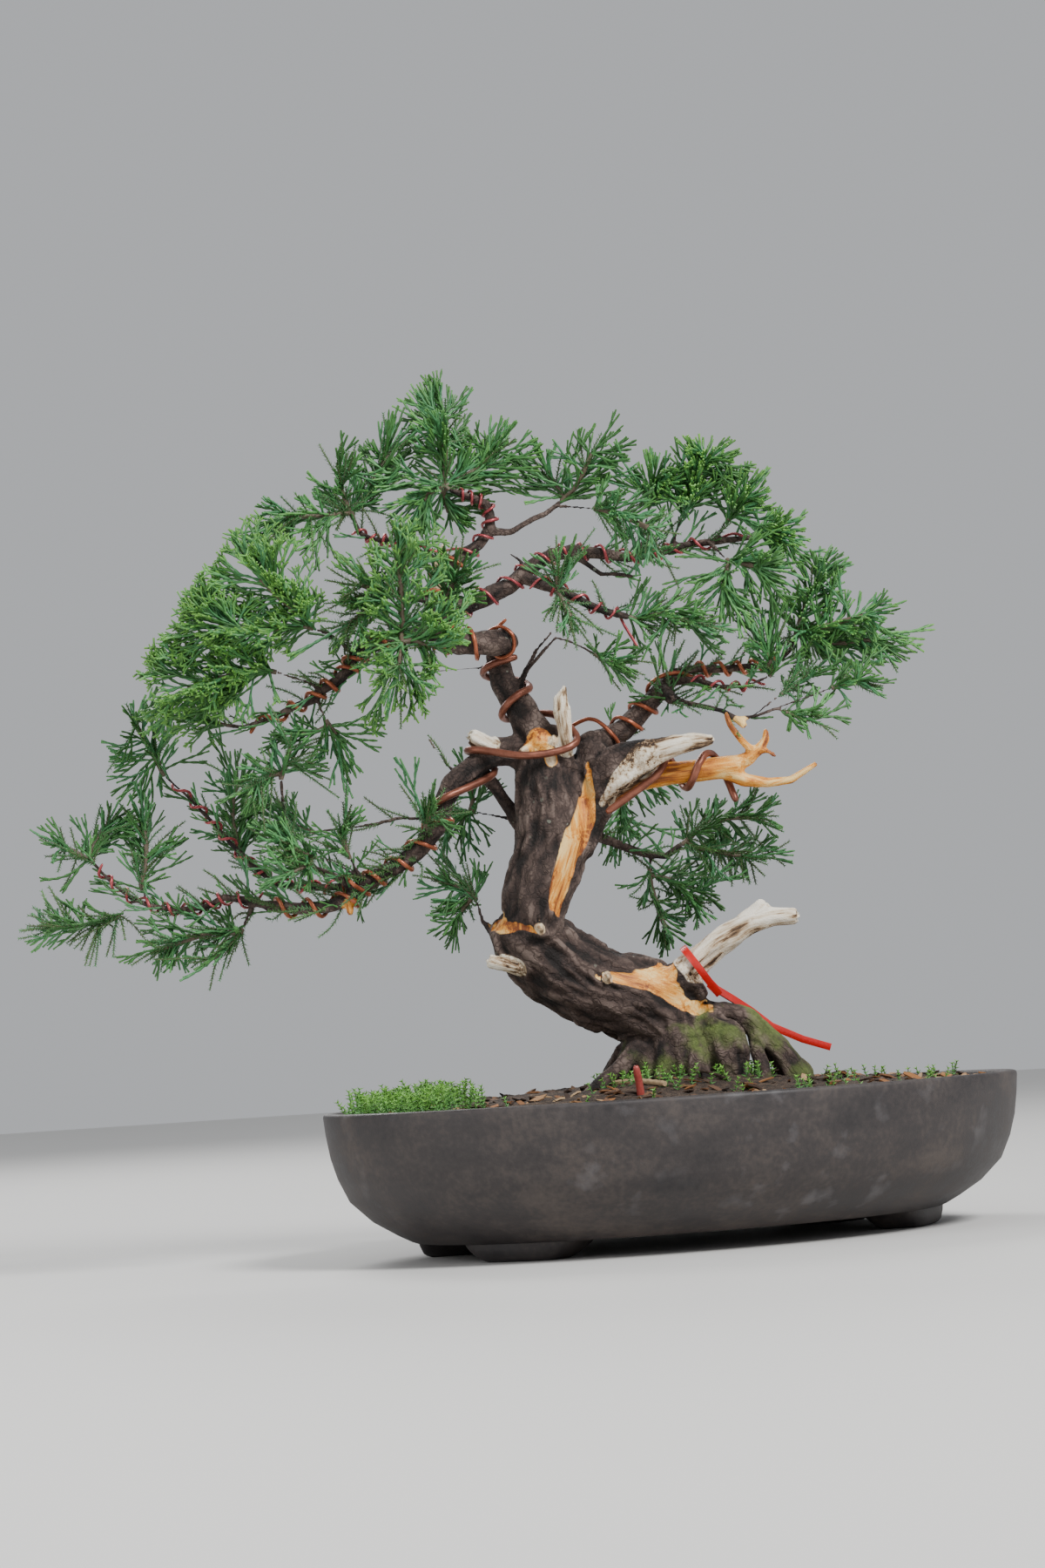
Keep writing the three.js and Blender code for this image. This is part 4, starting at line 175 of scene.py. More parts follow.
def group_tree(name, inputs, output):
    """An empty shader group. An input without a default is a place, and one value comes out."""
    tree = bpy.data.node_groups.new(name, "ShaderNodeTree")
    for label, value in inputs.items():
        kind = "NodeSocketVector" if value is None else "NodeSocketFloat"
        socket = tree.interface.new_socket(label, in_out="INPUT", socket_type=kind)
        if value is not None:
            socket.default_value = value
    tree.interface.new_socket(output, in_out="OUTPUT", socket_type="NodeSocketFloat")
    return tree, tree.nodes.new("NodeGroupInput").outputs, tree.nodes.new("NodeGroupOutput").inputs


def mottling_group():
    """A soft cloudy value from 0 to 1, broken up by finer grit"""
    inputs = {"Vector": None, "Cloud scale": 30.0, "Grit scale": 600.0, "Grit share": 0.35}
    tree, given, result = group_tree("mottling", inputs, "Value")
    place = given["Vector"]
    clouds = {"Vector": place, "Scale": given["Cloud scale"], "Detail": 4.0, "Roughness": 0.6}
    cloud = put(tree, "ShaderNodeTexNoise", clouds).outputs["Fac"]
    grits = {"Vector": place, "Scale": given["Grit scale"], "Detail": 2.0}
    grit = put(tree, "ShaderNodeTexNoise", grits).outputs["Fac"]
    both = put(tree, "ShaderNodeMix", {"Factor": given["Grit share"], "A": cloud, "B": grit})
    range_used = {"Value": both.outputs["Result"], "From Min": 0.32, "From Max": 0.68}
    spread = put(tree, "ShaderNodeMapRange", range_used)
    tree.links.new(spread.outputs["Result"], result["Value"])
    return tree


def fleck_group():
    """Scattered round flecks: 1 inside a fleck, 0 outside it"""
    tree, given, result = group_tree("flecks", {"Vector": None, "Scale": 200.0, "Size": 0.3}, "Mask")
    spots = {"Vector": given["Vector"], "Scale": given["Scale"]}
    cells = put(tree, "ShaderNodeTexVoronoi", spots).outputs["Distance"]
    wobble = put(tree, "ShaderNodeTexNoise", {**spots, "Detail": 3.0}).outputs["Fac"]
    ragged = arith(tree, "ADD", cells, wobble)
    limit = arith(tree, "ADD", given["Size"], 0.5)
    inside = arith(tree, "SUBTRACT", limit, ragged)
    mask = put(tree, "ShaderNodeMapRange", {"Value": inside, "From Min": 0.0, "From Max": 0.08})
    tree.links.new(mask.outputs["Result"], result["Mask"])
    return tree


mottling = mottling_group()
flecks = fleck_group()
print("shader groups:", mottling.name, flecks.name)

# %% [markdown]
# A finish is put together from a few kinds of node, so each kind has a short call of its own. Patterns
# use Object coordinates, because every piece sits at the origin, and so they stay fixed to the clay or
# the wood.

# %% A material under construction


class Finish:
    """One Principled shader, and short calls for the nodes that feed it"""

    def __init__(self, name, **constants):
        self.material = bpy.data.materials.new(name)
        self.material.use_nodes = True
        self.tree = self.material.node_tree
        self.shader = self.tree.nodes["Principled BSDF"]
        for label, value in constants.items():
            self.shader.inputs[label.replace("_", " ")].default_value = value
        self.place = put(self.tree, "ShaderNodeTexCoord").outputs["Object"]

    def add(self, kind, values=(), **settings):
        return put(self.tree, kind, values, **settings)

    def attribute(self, name, kind="Fac"):
        return self.add("ShaderNodeAttribute", attribute_name=name).outputs[kind]

    def noise(self, scale, detail=3.0, place=None):
        values = {"Vector": place or self.place, "Scale": scale, "Detail": detail}
        return self.add("ShaderNodeTexNoise", values).outputs["Fac"]

    def warped(self, reach, place):
        """A place, pushed about by a noise, so that a pattern made from it isn't regular"""
        values = {"Vector": self.place, "Scale": 170.0, "Detail": 3.0}
        push = self.add("ShaderNodeTexNoise", values).outputs["Color"]
        centred = self.add("ShaderNodeVectorMath", {0: push, 1: (0.5, 0.5, 0.5)}, operation="SUBTRACT")
        values = {0: centred.outputs[0], "Scale": reach * 2}
        scaled = self.add("ShaderNodeVectorMath", values, operation="SCALE")
        values = {0: place, 1: scaled.outputs[0]}
        return self.add("ShaderNodeVectorMath", values, operation="ADD").outputs[0]

    def mottled(self, cloud, grit, share=0.35):
        values = {"Vector": self.place, "Cloud scale": cloud, "Grit scale": grit, "Grit share": share}
        return self.add("ShaderNodeGroup", values, node_tree=mottling).outputs["Value"]

    def flecked(self, scale, size):
        values = {"Vector": self.place, "Scale": scale, "Size": size}
        return self.add("ShaderNodeGroup", values, node_tree=flecks).outputs["Mask"]

    def ramp(self, value, stops):
        node = self.add("ShaderNodeValToRGB", {"Fac": value})
        bar = node.color_ramp.elements
        while len(bar) < len(stops):
            bar.new(0.5)
        for element, (position, colour) in zip(bar, stops):
            element.position = position
            element.color = (*colour, 1)
        return node.outputs["Color"]

    def mix(self, share, first, second):
        """Two colours mixed. In this node the sockets 6 and 7 are its colours, and 2 is the mixed colour."""
        node = self.add("ShaderNodeMix", data_type="RGBA")
        for index, value in ((0, share), (6, first), (7, second)):
            if isinstance(value, bpy.types.NodeSocket):
                self.tree.links.new(value, node.inputs[index])
            else:
                node.inputs[index].default_value = (*value, 1) if index else value
        return node.outputs[2]

    def math(self, operation, first, second=0.0):
        return arith(self.tree, operation, first, second)

    def plus(self, first, second, share=1.0):
        """One value with a share of a second added to it"""
        return self.math("ADD", first, second if share == 1.0 else self.math("MULTIPLY", second, share))

    def span(self, value, low, high, to_low=0.0, to_high=1.0):
        """A value between two limits, as a share of the way from one result to the other"""
        values = {"Value": value, "From Min": low, "From Max": high, "To Min": to_low, "To Max": to_high}
        return self.add("ShaderNodeMapRange", values).outputs["Result"]

    def colour(self, socket):
        self.tree.links.new(socket, self.shader.inputs["Base Color"])

    def rough(self, socket):
        self.tree.links.new(socket, self.shader.inputs["Roughness"])

    def bump(self, height, distance, strength=1.0):
        node = self.add("ShaderNodeBump", {"Height": height, "Distance": distance, "Strength": strength})
        self.tree.links.new(node.outputs["Normal"], self.shader.inputs["Normal"])

# %% [markdown]
# Helpers for mesh work. A solid from the frame is loose triangles, so a copy of it is welded first. numpy
# handles the points of a mesh all at once, which keeps the work on 100,000 bark points quick.

# %% Mesh helpers
WELD = 0.005 * MM


def welded_copy(node):
    """A solid's mesh as a bmesh with its triangles joined"""
    sheet = bmesh.new()
    sheet.from_mesh(nodes[node].data)
    bmesh.ops.remove_doubles(sheet, verts=sheet.verts, dist=WELD)
    sheet.verts.ensure_lookup_table()
    sheet.verts.index_update()
    return sheet


def piece_from(sheet, name):
    mesh = bpy.data.meshes.new(name)
    sheet.to_mesh(mesh)
    sheet.free()
    return linked(name, mesh)


def settle(piece):
    """Applies a piece's modifiers by keeping its evaluated mesh"""
    graph = bpy.context.evaluated_depsgraph_get()
    mesh = bpy.data.meshes.new_from_object(piece.evaluated_get(graph))
    piece.modifiers.clear()
    old = piece.data
    piece.data = mesh
    bpy.data.meshes.remove(old)
    mesh.name = piece.name
    mesh.validate()
    return piece


def triangles_of(mesh):
    return sum(len(face.vertices) - 2 for face in mesh.polygons)


def points_of(mesh, what="co"):
    flat = np.empty(len(mesh.vertices) * 3)
    mesh.vertices.foreach_get(what, flat)
    return flat.reshape(-1, 3)


def set_points(mesh, points):
    mesh.vertices.foreach_set("co", points.ravel())
    mesh.update()


def store(mesh, name, values):
    layer = mesh.attributes.new(name, "FLOAT", "POINT")
    layer.data.foreach_set("value", np.asarray(values, dtype=np.float32))


def smooth_shaded(mesh):
    mesh.polygons.foreach_set("use_smooth", np.ones(len(mesh.polygons), dtype=bool))


def skin_rings(sheet, rings):
    """Skins rings of equal counts one after another, and closes both ends"""
    rows = [[sheet.verts.new(point) for point in ring] for ring in rings]
    for lower, upper in zip(rows, rows[1:]):
        for index in range(len(lower)):
            after = (index + 1) % len(lower)
            sheet.faces.new((lower[index], lower[after], upper[after], upper[index]))
    sheet.faces.new(rows[0][::-1])
    sheet.faces.new(rows[-1])


def joined(name, pieces):
    """Several meshes as one piece"""
    whole = bmesh.new()
    for piece in pieces:
        whole.from_mesh(piece.data)
        old = piece.data
        bpy.data.objects.remove(piece)
        bpy.data.meshes.remove(old)
    return piece_from(whole, name)


tallies = {}


def finish_piece(piece, slot, material, *replaced):
    """Gives a piece its material, hangs it under the root body and hides the solids it stands in for. Its
    slot is not used.
    """
    piece.data.validate()
    piece.data.materials.clear()
    piece.data.materials.append(material)
    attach(piece, "root")
    if replaced:
        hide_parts(*replaced)
    tallies[piece.name] = triangles_of(piece.data)


def tallied(start):
    return sum(count for name, count in tallies.items() if name.startswith(start))


# %% [markdown]
# The wood is one grown piece, so it stays one mesh. Voxel remeshing turns the angular solid into an even
# skin of small quads. A few small roots and lumps are added first, so that the skin runs over them too.

# %% An even skin for the wood
SKIN = 1.1 * MM
ROOT_SIDES = 10
ROOT_KNOB = 0.28
KNOB_SIZE = 9 * MM

# Small roots and lumps of burl under the trunk, between the main roots: each point is across, up, behind,
# radius
SMALL_ROOTS = [
    [(-4, 122, -4, 12), (-11, 106, -12, 8), (-14, 93, -18, 6.5), (-17, 80, -20, 7)],
    [(-10, 122, 8, 13), (-14, 104, 14, 11), (-18, 80, 18, 11)],
    [(10, 120, -8, 11), (15, 104, -24, 7), (18, 92, -29, 6), (20, 80, -32, 7)],
    [(-2, 116, -14, 8), (-3, 100, -24, 5.5), (-6, 90, -30, 5), (-8, 80, -34, 6)],
    [(-16, 112, -12, 6), (-29, 99, -22, 4.5), (-40, 90, -28, 4), (-50, 80, -32, 4)],
    [(48, 122, -3, 5), (50, 108, -12, 4), (55, 96, -18, 4), (57, 80, -22, 5)],
]


def add_root(sheet, points):
    """A tapered, knobbly tube of rings round a bent middle line"""
    middles = [seen(*point[:3]) for point in points]
    rings = []
    for number, (middle, point) in enumerate(zip(middles, points)):
        run = middles[min(number + 1, len(points) - 1)] - middles[max(number - 1, 0)]
        turned = run.to_track_quat("Z", "Y")
        ring = []
        for corner in range(ROOT_SIDES):
            angle = 2 * math.pi * corner / ROOT_SIDES
            outwards = Vector((math.cos(angle), math.sin(angle), 0))
            knob = 1 + ROOT_KNOB * noise.noise(middle / KNOB_SIZE + outwards * 1.4)
            ring.append(middle + turned @ (outwards * point[3] * MM * knob))
        rings.append(ring)
    skin_rings(sheet, rings)


wood_sheet = welded_copy("wood")
wood_tree = BVHTree.FromBMesh(wood_sheet)
rooted_sheet = wood_sheet.copy()
for points in SMALL_ROOTS:
    add_root(rooted_sheet, points)
wood = piece_from(rooted_sheet, "bark_and_deadwood")
remesh = wood.modifiers.new("even skin", "REMESH")
remesh.mode = "VOXEL"
remesh.voxel_size = SKIN
settle(wood)
skin = wood.data
places = points_of(skin)
normals = points_of(skin, "normal")
print("wood skin:", len(places), "points")

# %% [markdown]
# Thick limbs are smoothed more than thin ones: a twig would shrink away under the smoothing that rounds a
# trunk. The thickness at each point is the length of a ray sent straight into the wood. Smoothing draws
# the skin inwards, so at the end it is pushed out again a little.

# %% Round the limbs
TRUNK_THICKNESS = 42 * MM
MOST_THICKNESS = 60 * MM
ROUNDING_PASSES = 40
ROUNDING = 0.6


def links_of(mesh):
    """Pairs of neighbouring points, the diagonals of each quad included, in both directions"""
    corners = np.array([face.vertices[:] for face in mesh.polygons if len(face.vertices) == 4])
    sides = [corners[:, [a, b]] for a, b in ((0, 1), (1, 2), (2, 3), (3, 0), (0, 2), (1, 3))]
    pairs = np.unique(np.sort(np.concatenate(sides), axis=1), axis=0)
    return np.concatenate([pairs, pairs[:, ::-1]])


def spread_over(links, values, passes, weights=None, keep=1.0):
    """Averages values over neighbouring points, pass after pass"""
    first, second = links[:, 0], links[:, 1]
    weights = np.ones(len(links)) if weights is None else weights
    total = np.bincount(first, weights, len(values)) + keep
    values = values.reshape(len(values), -1).astype(float)
    for _ in range(passes):
        for column in range(values.shape[1]):
            summed = np.bincount(first, weights * values[second, column], len(values))
            values[:, column] = (summed + keep * values[:, column]) / total
    return values.squeeze()


def thickness_at(place, normal):
    start = Vector(place) - Vector(normal) * 0.3 * MM
    hit = wood_tree.ray_cast(start, -Vector(normal))
    return hit[3] if hit[3] is not None else 2 * MM


links = links_of(skin)
thickness = np.array([thickness_at(place, normal) for place, normal in zip(places, normals)])
thickness = spread_over(links, np.minimum(thickness, MOST_THICKNESS), 12)
rounding = np.clip((thickness / TRUNK_THICKNESS) ** 2, 0.03, 1)[:, None]
for _ in range(ROUNDING_PASSES):
    places += ROUNDING * rounding * (spread_over(links, places, 1, keep=0.0) - places)
set_points(skin, places)
normals = points_of(skin, "normal")
places += normals * (0.012 * thickness + 0.05 * MM)[:, None]
print("thickest wood: %.1f mm" % (thickness.max() / MM))

# %% [markdown]
# Bark splits along a limb. To know which way a limb runs, look at the solid's edges: where two faces meet
# at an angle, their edge runs along the limb. These directions are gathered near each point and smoothed
# over the skin. Random values are then combed along them, which draws them out into long ridges and
# grooves.

# %% The direction of the grain
SAMPLE_STEP = 4 * MM
NEAR_SAMPLES = 6
LEAST_BEND = 0.1
MOST_BEND = 1.2


def grain_field(sheet):
    """Sample places on the solid's edges, each with the direction of its edge as a tensor"""
    spots, tensors = [], []
    for edge in sheet.edges:
        if len(edge.link_faces) != 2:
            continue
        start, end = edge.verts[0].co, edge.verts[1].co
        run = end - start
        bend = edge.calc_face_angle(0.0)
        if bend < LEAST_BEND or run.length < 0.5 * MM:
            continue
        along = np.array(run.normalized())
        count = max(1, round(run.length / SAMPLE_STEP))
        for step in range(count):
            spots.append(start + run * ((step + 0.5) / count))
            tensors.append(min(bend, MOST_BEND) * np.outer(along, along).ravel() * run.length / count)
    return spots, np.array(tensors)


spots, tensors = grain_field(wood_sheet)
spot_tree = KDTree(len(spots))
for index, spot in enumerate(spots):
    spot_tree.insert(spot, index)
spot_tree.balance()
nearest = [
    [(index, distance) for _, index, distance in spot_tree.find_n(place, NEAR_SAMPLES)] for place in places
]
shares = np.array([[1 / (distance + 2 * MM) for _, distance in found] for found in nearest])
chosen = np.array([[index for index, _ in found] for found in nearest])
field = np.einsum("vk,vkt->vt", shares, tensors[chosen])
field = spread_over(links, field, 10)
_, vectors = np.linalg.eigh(field.reshape(-1, 3, 3))
grain = vectors[:, :, 2]
wood_sheet.free()
print("grain from", len(spots), "edge samples")

# %% [markdown]
# Combing: a value spreads to a neighbour only where the way to it runs with the grain. A few passes give
# short fibres and plates, and many passes give the long checks of old wood.

# %% Comb values along the grain
GRAIN_SHARPNESS = 10

runs = places[links[:, 1]] - places[links[:, 0]]
runs /= np.linalg.norm(runs, axis=1)[:, None] + 1e-12
along_grain = np.abs(np.einsum("li,li->l", runs, grain[links[:, 0]])) ** GRAIN_SHARPNESS


def combed(seed, blur, passes):
    """Random values drawn out along the grain, with mean 0 and spread 1"""
    values = np.random.default_rng(seed).normal(size=len(places))
    if blur:
        values = spread_over(links, values, blur)
    values = spread_over(links, values, passes, along_grain, keep=0.15)
    return (values - values.mean()) / values.std()


plates = combed(11, 2, 14)
strips = combed(12, 0, 18)
fibres = combed(13, 0, 5)
checks = combed(15, 0, 70)
lumps = spread_over(links, np.random.default_rng(14).normal(size=len(places)), 30)
lumps = (lumps - lumps.mean()) / lumps.std()
print("combed values at", len(places), "points")

# %% [markdown]
# Where the bark is gone the wood shows: grey and torn on old deadwood, orange where it was peeled this
# season, and pale where a stub was cut. Each bare or mossy limb is given by places on its middle line, as
# across, up, behind and the thickness there.

# %% Bare and mossy limbs
WEATHERED = {
    "long_jin": [(-6, 281.5, -20, 10), (10, 286, -22, 8), (24.5, 287.5, -24, 6)],
    "lower_jin": [(12, 157, -12, 10), (26, 170, -12, 9.5), (47, 182, -13, 8), (73, 186, -15, 7)],
    "lower_jin_fork": [(44, 184, -12, 7), (54, 193, -12, 6)],
    "grey_stub": [(-89, 156, -24, 6), (-104, 160.5, -23, 5)],
    "left_stub": [(-103, 282, -8, 6.5), (-115.5, 289.5, -11, 6)],
    "split_stub": [(-60, 284, -15, 6), (-62.5, 304, -18, 8), (-60.8, 318.5, -17, 5)],
}
PEELED = {
    "orange_jin": [(-38, 258, 2, 9.5), (-18.5, 264.5, -2, 9), (18.5, 270, -8, 9), (40, 273, -11, 8.5)],
    "jin_fork": [(35, 272, -10, 7), (51, 282.5, -13, 5), (54.5, 294, -14, 3)],
    "jin_nub": [(50, 281.5, -13, 4), (60.5, 277.5, -17, 3)],
    "jin_limb": [(49, 280.5, -13, 4), (38, 290.5, -17, 4), (31.5, 303, -18, 3)],
    "jin_low": [(33, 269, -10, 7), (56, 262.8, -12, 5), (84, 274, -12, 3.5)],
    "knot": [(-75, 286.5, -12, 6.8), (-75, 289, -18, 6)],
    "knot_left": [(-80, 283, -13, 4), (-86, 280, -20, 3.2)],
    "knot_right": [(-70, 281, -16, 3.2), (-68.5, 275.5, -20, 2.8)],
    "left_cut": [(-184, 193, -38, 4), (-184, 187, -40, 4)],
    "right_cut": [(40, 297, -13, 4), (43, 295, -14, 4)],
}
PALE = {
    "pale_stub": [(-135, 377, -9, 3.5), (-133, 392, -15, 3), (-130, 400, -15, 3)],
    "elbow_stub": [(-75.3, 179.2, -35.5, 3.4), (-75.5, 180, -39, 3.4)],
    "knot_left_end": [(-84.5, 280.8, -18.6, 2.6), (-86, 280, -20.5, 2.6)],
    "knot_right_end": [(-68.8, 276.5, -19, 2.3), (-68.5, 275.5, -20.5, 2.3)],
    "knot_bud_end": [(-67.5, 287, -16.5, 2.4), (-67.5, 287, -18.5, 2.4)],
    "trunk_stub": [(-35.8, 151, -27.5, 3.4), (-35.5, 152, -31, 3.4)],
}
MOSSY = {
    "root_right": [(35, 131, -2, 9), (53.5, 117, -2, 11), (74, 93, -4, 13)],
    "burl": [(22, 121, -10, 12), (33, 107, -18, 17), (33, 90, -18, 14)],
    "root_knob": [(4.5, 112, -20, 12), (7, 88, -22, 9)],
    "root_left": [(-21, 107, -6, 14), (-27, 88, -9, 12)],
    "small_roots": [(-13, 104, -14, 15), (17, 98, -30, 12)],
    "right_rootlet": [(50, 108, -12, 7), (56, 88, -20, 7)],
    "lower_trunk_base": [(14, 84, 8, 26), (7, 104, 6, 30)],
}
print("bare limbs:", len(WEATHERED) + len(PEELED) + len(PALE), "mossy limbs:", len(MOSSY))

# %% [markdown]
# Outlines are given in points of the picture, and hold on the side towards the eye only. The long jin
# tapers to a tongue on the bark, so its middle line gives only its outer end, and an outline gives the
# tongue.

# %% Outlines of bare patches
LONG_JIN_OUTLINE = [
    (822, 843), (815, 864), (790, 868), (766, 882), (738, 902), (714, 918), (697, 932), (689, 936),
    (687, 922), (697, 900), (706, 888), (716, 868), (724, 856), (745, 848), (780, 842), (800, 838),
]
LONG_JIN_LINE = [(-38, 264, -11, 13), (-20, 276.5, -17, 12.5), (10, 286, -22, 8)]
PATCHES = {
    "trunk_strip": [
        (674, 876), (668, 907), (661, 930), (650, 955), (642, 983), (632, 1021), (632, 1044), (642, 1052),
        (645, 1041), (657, 1006), (668, 983), (684, 949), (684, 930), (682, 907), (679, 884),
    ],
    "lower_patch": [
        (684, 1121), (714, 1115), (745, 1113), (764, 1102), (774, 1102), (776, 1117), (779, 1132),
        (791, 1146), (806, 1150), (821, 1152), (818, 1161), (802, 1165), (783, 1161), (768, 1153),
        (749, 1140), (730, 1134), (710, 1129), (688, 1123),
    ],
    "elbow_patch": [
        (573, 1035), (561, 1056), (564, 1068), (577, 1069), (615, 1071), (613, 1063), (596, 1060),
        (578, 1052),
    ],
}
PATCH_RAGGED = 1.5
JIN_RAGGED = 1.8
OUTLINE_SOFTNESS = 3

towards_eye = np.array(turn.transposed())
from_eye = (places - np.array(eye)) @ towards_eye.T
focal = LENS / SENSOR * PICTURE_HEIGHT
picture_x = PICTURE_WIDTH / 2 - focal * from_eye[:, 0] / from_eye[:, 2]
picture_y = PICTURE_HEIGHT / 2 + focal * from_eye[:, 1] / from_eye[:, 2]
facing = normals @ np.array(seen_back)


def inside_outline(outline, ragged):
    """From 0 outside a seen outline to 1 inside it, along an edge made ragged by the grain"""
    inside = np.zeros(len(places), dtype=bool)
    depth = np.full(len(places), 1e9)
    for (ax, ay), (bx, by) in zip(outline, outline[1:] + outline[:1]):
        crosses = (ay > picture_y) != (by > picture_y)
        at = ax + (picture_y - ay) * (bx - ax) / (by - ay if by != ay else 1e-9)
        inside ^= crosses & (picture_x < at)
        run = np.array((bx - ax, by - ay), dtype=float)
        share = np.clip(((picture_x - ax) * run[0] + (picture_y - ay) * run[1]) / (run @ run), 0, 1)
        gap = np.hypot(picture_x - ax - share * run[0], picture_y - ay - share * run[1])
        depth = np.minimum(depth, gap)
    depth = np.where(inside, depth, -depth) + ragged * strips
    return np.clip(depth / OUTLINE_SOFTNESS + 0.5, 0, 1)


print("outlines:", *PATCHES, "long_jin")

# %% [markdown]
# Each point of the skin is set against the middle lines. That gives masks for bare wood and moss, and two
# measures for patterns that follow a limb: the offset from its middle line, and the way travelled along
# it. The bark of the trunk and roots has middle lines of its own for this.

# %% Masks for bare wood and moss
TRUNK = {
    "lower_trunk": [
        (17, 64, 8, 15), (14, 84, 8, 19), (7, 108, 6, 24), (-2, 131, 4, 27.5), (-20, 139, 1, 27),
        (-42, 145, -2, 25.5), (-63, 156, -5, 25), (-82, 173, -9, 23),
    ],
    "upper_trunk": [
        (-80, 174, -14, 18), (-77, 197, -15, 20), (-73, 212, -13, 21), (-68, 230, -10, 21.5),
        (-69, 250, -7, 20), (-71, 266, -4, 18.5), (-73, 281, -2, 16), (-76, 291, 0, 12),
    ],
    "root_right": [(20, 132, -4, 8), (44, 127, -2, 7), (65, 105.5, -3, 8.2), (78, 82, -4, 10)],
}
AXIS_SLACK = 4.0
LIMB_SLACK = 1.5
JIN_SLACK = 4.0


def set_against(start, end):
    """Every point against one stretch of a limb: the run, the share of it passed, and the offset from it"""
    first, last = np.array(seen(*start)), np.array(seen(*end))
    run = last - first
    share = np.clip((places - first) @ run / (run @ run), 0, 1)
    return run, share, places - first - share[:, None] * run


def limb_places(limbs):
    """Where each point lies on its limb: its offset from the middle line, and its way along that line"""
    nearest = np.full(len(places), AXIS_SLACK)
    offsets = places.copy()
    along = np.zeros(len(places))
    for points in limbs:
        travelled = 0.0
        for (*start, start_radius), (*end, end_radius) in zip(points, points[1:]):
            run, share, offset = set_against(start, end)
            gap = np.linalg.norm(offset, axis=1) / MM - start_radius - (end_radius - start_radius) * share
            closer = gap < nearest
            nearest[closer] = gap[closer]
            offsets[closer] = offset[closer]
            along[closer] = travelled + share[closer] * np.linalg.norm(run)
            travelled += np.linalg.norm(run)
    return offsets, along


def near_limb(points, slack=LIMB_SLACK):
    """1 within a limb's thickness of its middle line, falling to 0 over the slack"""
    mask = np.zeros(len(places))
    for (*start, start_radius), (*end, end_radius) in zip(points, points[1:]):
        _, share, offset = set_against(start, end)
        gap = np.linalg.norm(offset, axis=1) / MM
        radius = start_radius + (end_radius - start_radius) * share
        mask = np.maximum(mask, np.clip((radius + slack - gap) / slack, 0, 1))
    return mask


def all_near(limbs):
    return np.max([near_limb(points) for points in limbs.values()], axis=0)


bark_offsets, bark_along = limb_places([*TRUNK.values(), *WEATHERED.values(), *PEELED.values()])
patch = np.zeros(len(places))
for outline in PATCHES.values():
    patch = np.maximum(patch, inside_outline(outline, PATCH_RAGGED) * (facing > 0.05))
on_jin = near_limb(LONG_JIN_LINE, JIN_SLACK)
jin = inside_outline(LONG_JIN_OUTLINE, JIN_RAGGED) * on_jin * (facing > 0.02)
weathered = np.maximum(all_near(WEATHERED), jin)
peeled = np.maximum(all_near(PEELED), patch) * (1 - weathered)
pale = all_near(PALE)
mossy = all_near(MOSSY)
bare = np.clip(np.maximum.reduce([weathered, peeled, pale]), 0, 1)
bare = spread_over(links, bare, 1)
print("bare share of the skin: %.2f" % bare.mean())

# %% [markdown]
# The relief: bark lifts in plates and strips in proportion to the limb's thickness, weathered wood is
# grooved, and peeled wood is nearly smooth and lies a little lower than the bark round it.

# %% Relief on the wood
WOOD_TRIANGLES = 190000
PATCH_DEPTH = 0.9 * MM


def lift(share, low, high):
    """A height in proportion to the limb's thickness, between limits in millimetres"""
    return np.clip(share * thickness, low * MM, high * MM)


def kept_small(values):
    return values.clip(-2, 2)


bark_height = lift(0.04, 0.12, 1.2)
bark_shape = 0.8 * np.tanh(1.7 * plates) + 0.34 * kept_small(strips) + 0.1 * kept_small(fibres)
groove_shape = 0.75 * np.tanh(1.4 * checks) + 0.3 * kept_small(strips)
relief = (1 - bare) * bark_height * bark_shape
relief += weathered * lift(0.1, 0.12, 1.3) * groove_shape
relief += np.maximum(peeled, pale) * lift(0.012, 0.03, 0.2) * kept_small(checks)
relief += 0.35 * bark_height * kept_small(lumps) * (1 - bare)
relief -= PATCH_DEPTH * patch
places += normals * relief[:, None]
set_points(skin, places)
smooth_shaded(skin)
print("relief from %.1f to %.1f mm" % (relief.min() / MM, relief.max() / MM))

# %% [markdown]
# The masks and combed values go along as attributes, so that colour and shape agree. Then the even skin
# is thinned where it is flat.

# %% Keep the masks on the wood
offset_layer = skin.attributes.new("limb_offset", "FLOAT_VECTOR", "POINT")
offset_layer.data.foreach_set("vector", bark_offsets.astype(np.float32).ravel())
wood_values = {
    "limb_along": bark_along,
    # ridge follows the raised plates of the relief; the bark colour is paler where it is high, partly as a
    # painted highlight
    "ridge": np.clip(0.5 + 0.18 * plates + 0.13 * strips + 0.07 * fibres, 0, 1),
    # fibre follows the checks of the relief; the wood colours are darker where it is low, partly as painted
    # shade
    "fibre": np.clip(0.5 + 0.17 * checks + 0.1 * strips + 0.07 * fibres, 0, 1),
    "weathered": weathered,
    "peeled": peeled,
    "pale": pale,
    "mossy": mossy * np.clip(0.4 + 0.6 * normals[:, 2], 0, 1),
}
for label, values in wood_values.items():
    store(skin, label, values)
thinner = wood.modifiers.new("fewer faces", "DECIMATE")
thinner.ratio = WOOD_TRIANGLES / triangles_of(skin)
settle(wood)
smooth_shaded(wood.data)
print("wood triangles:", triangles_of(wood.data))
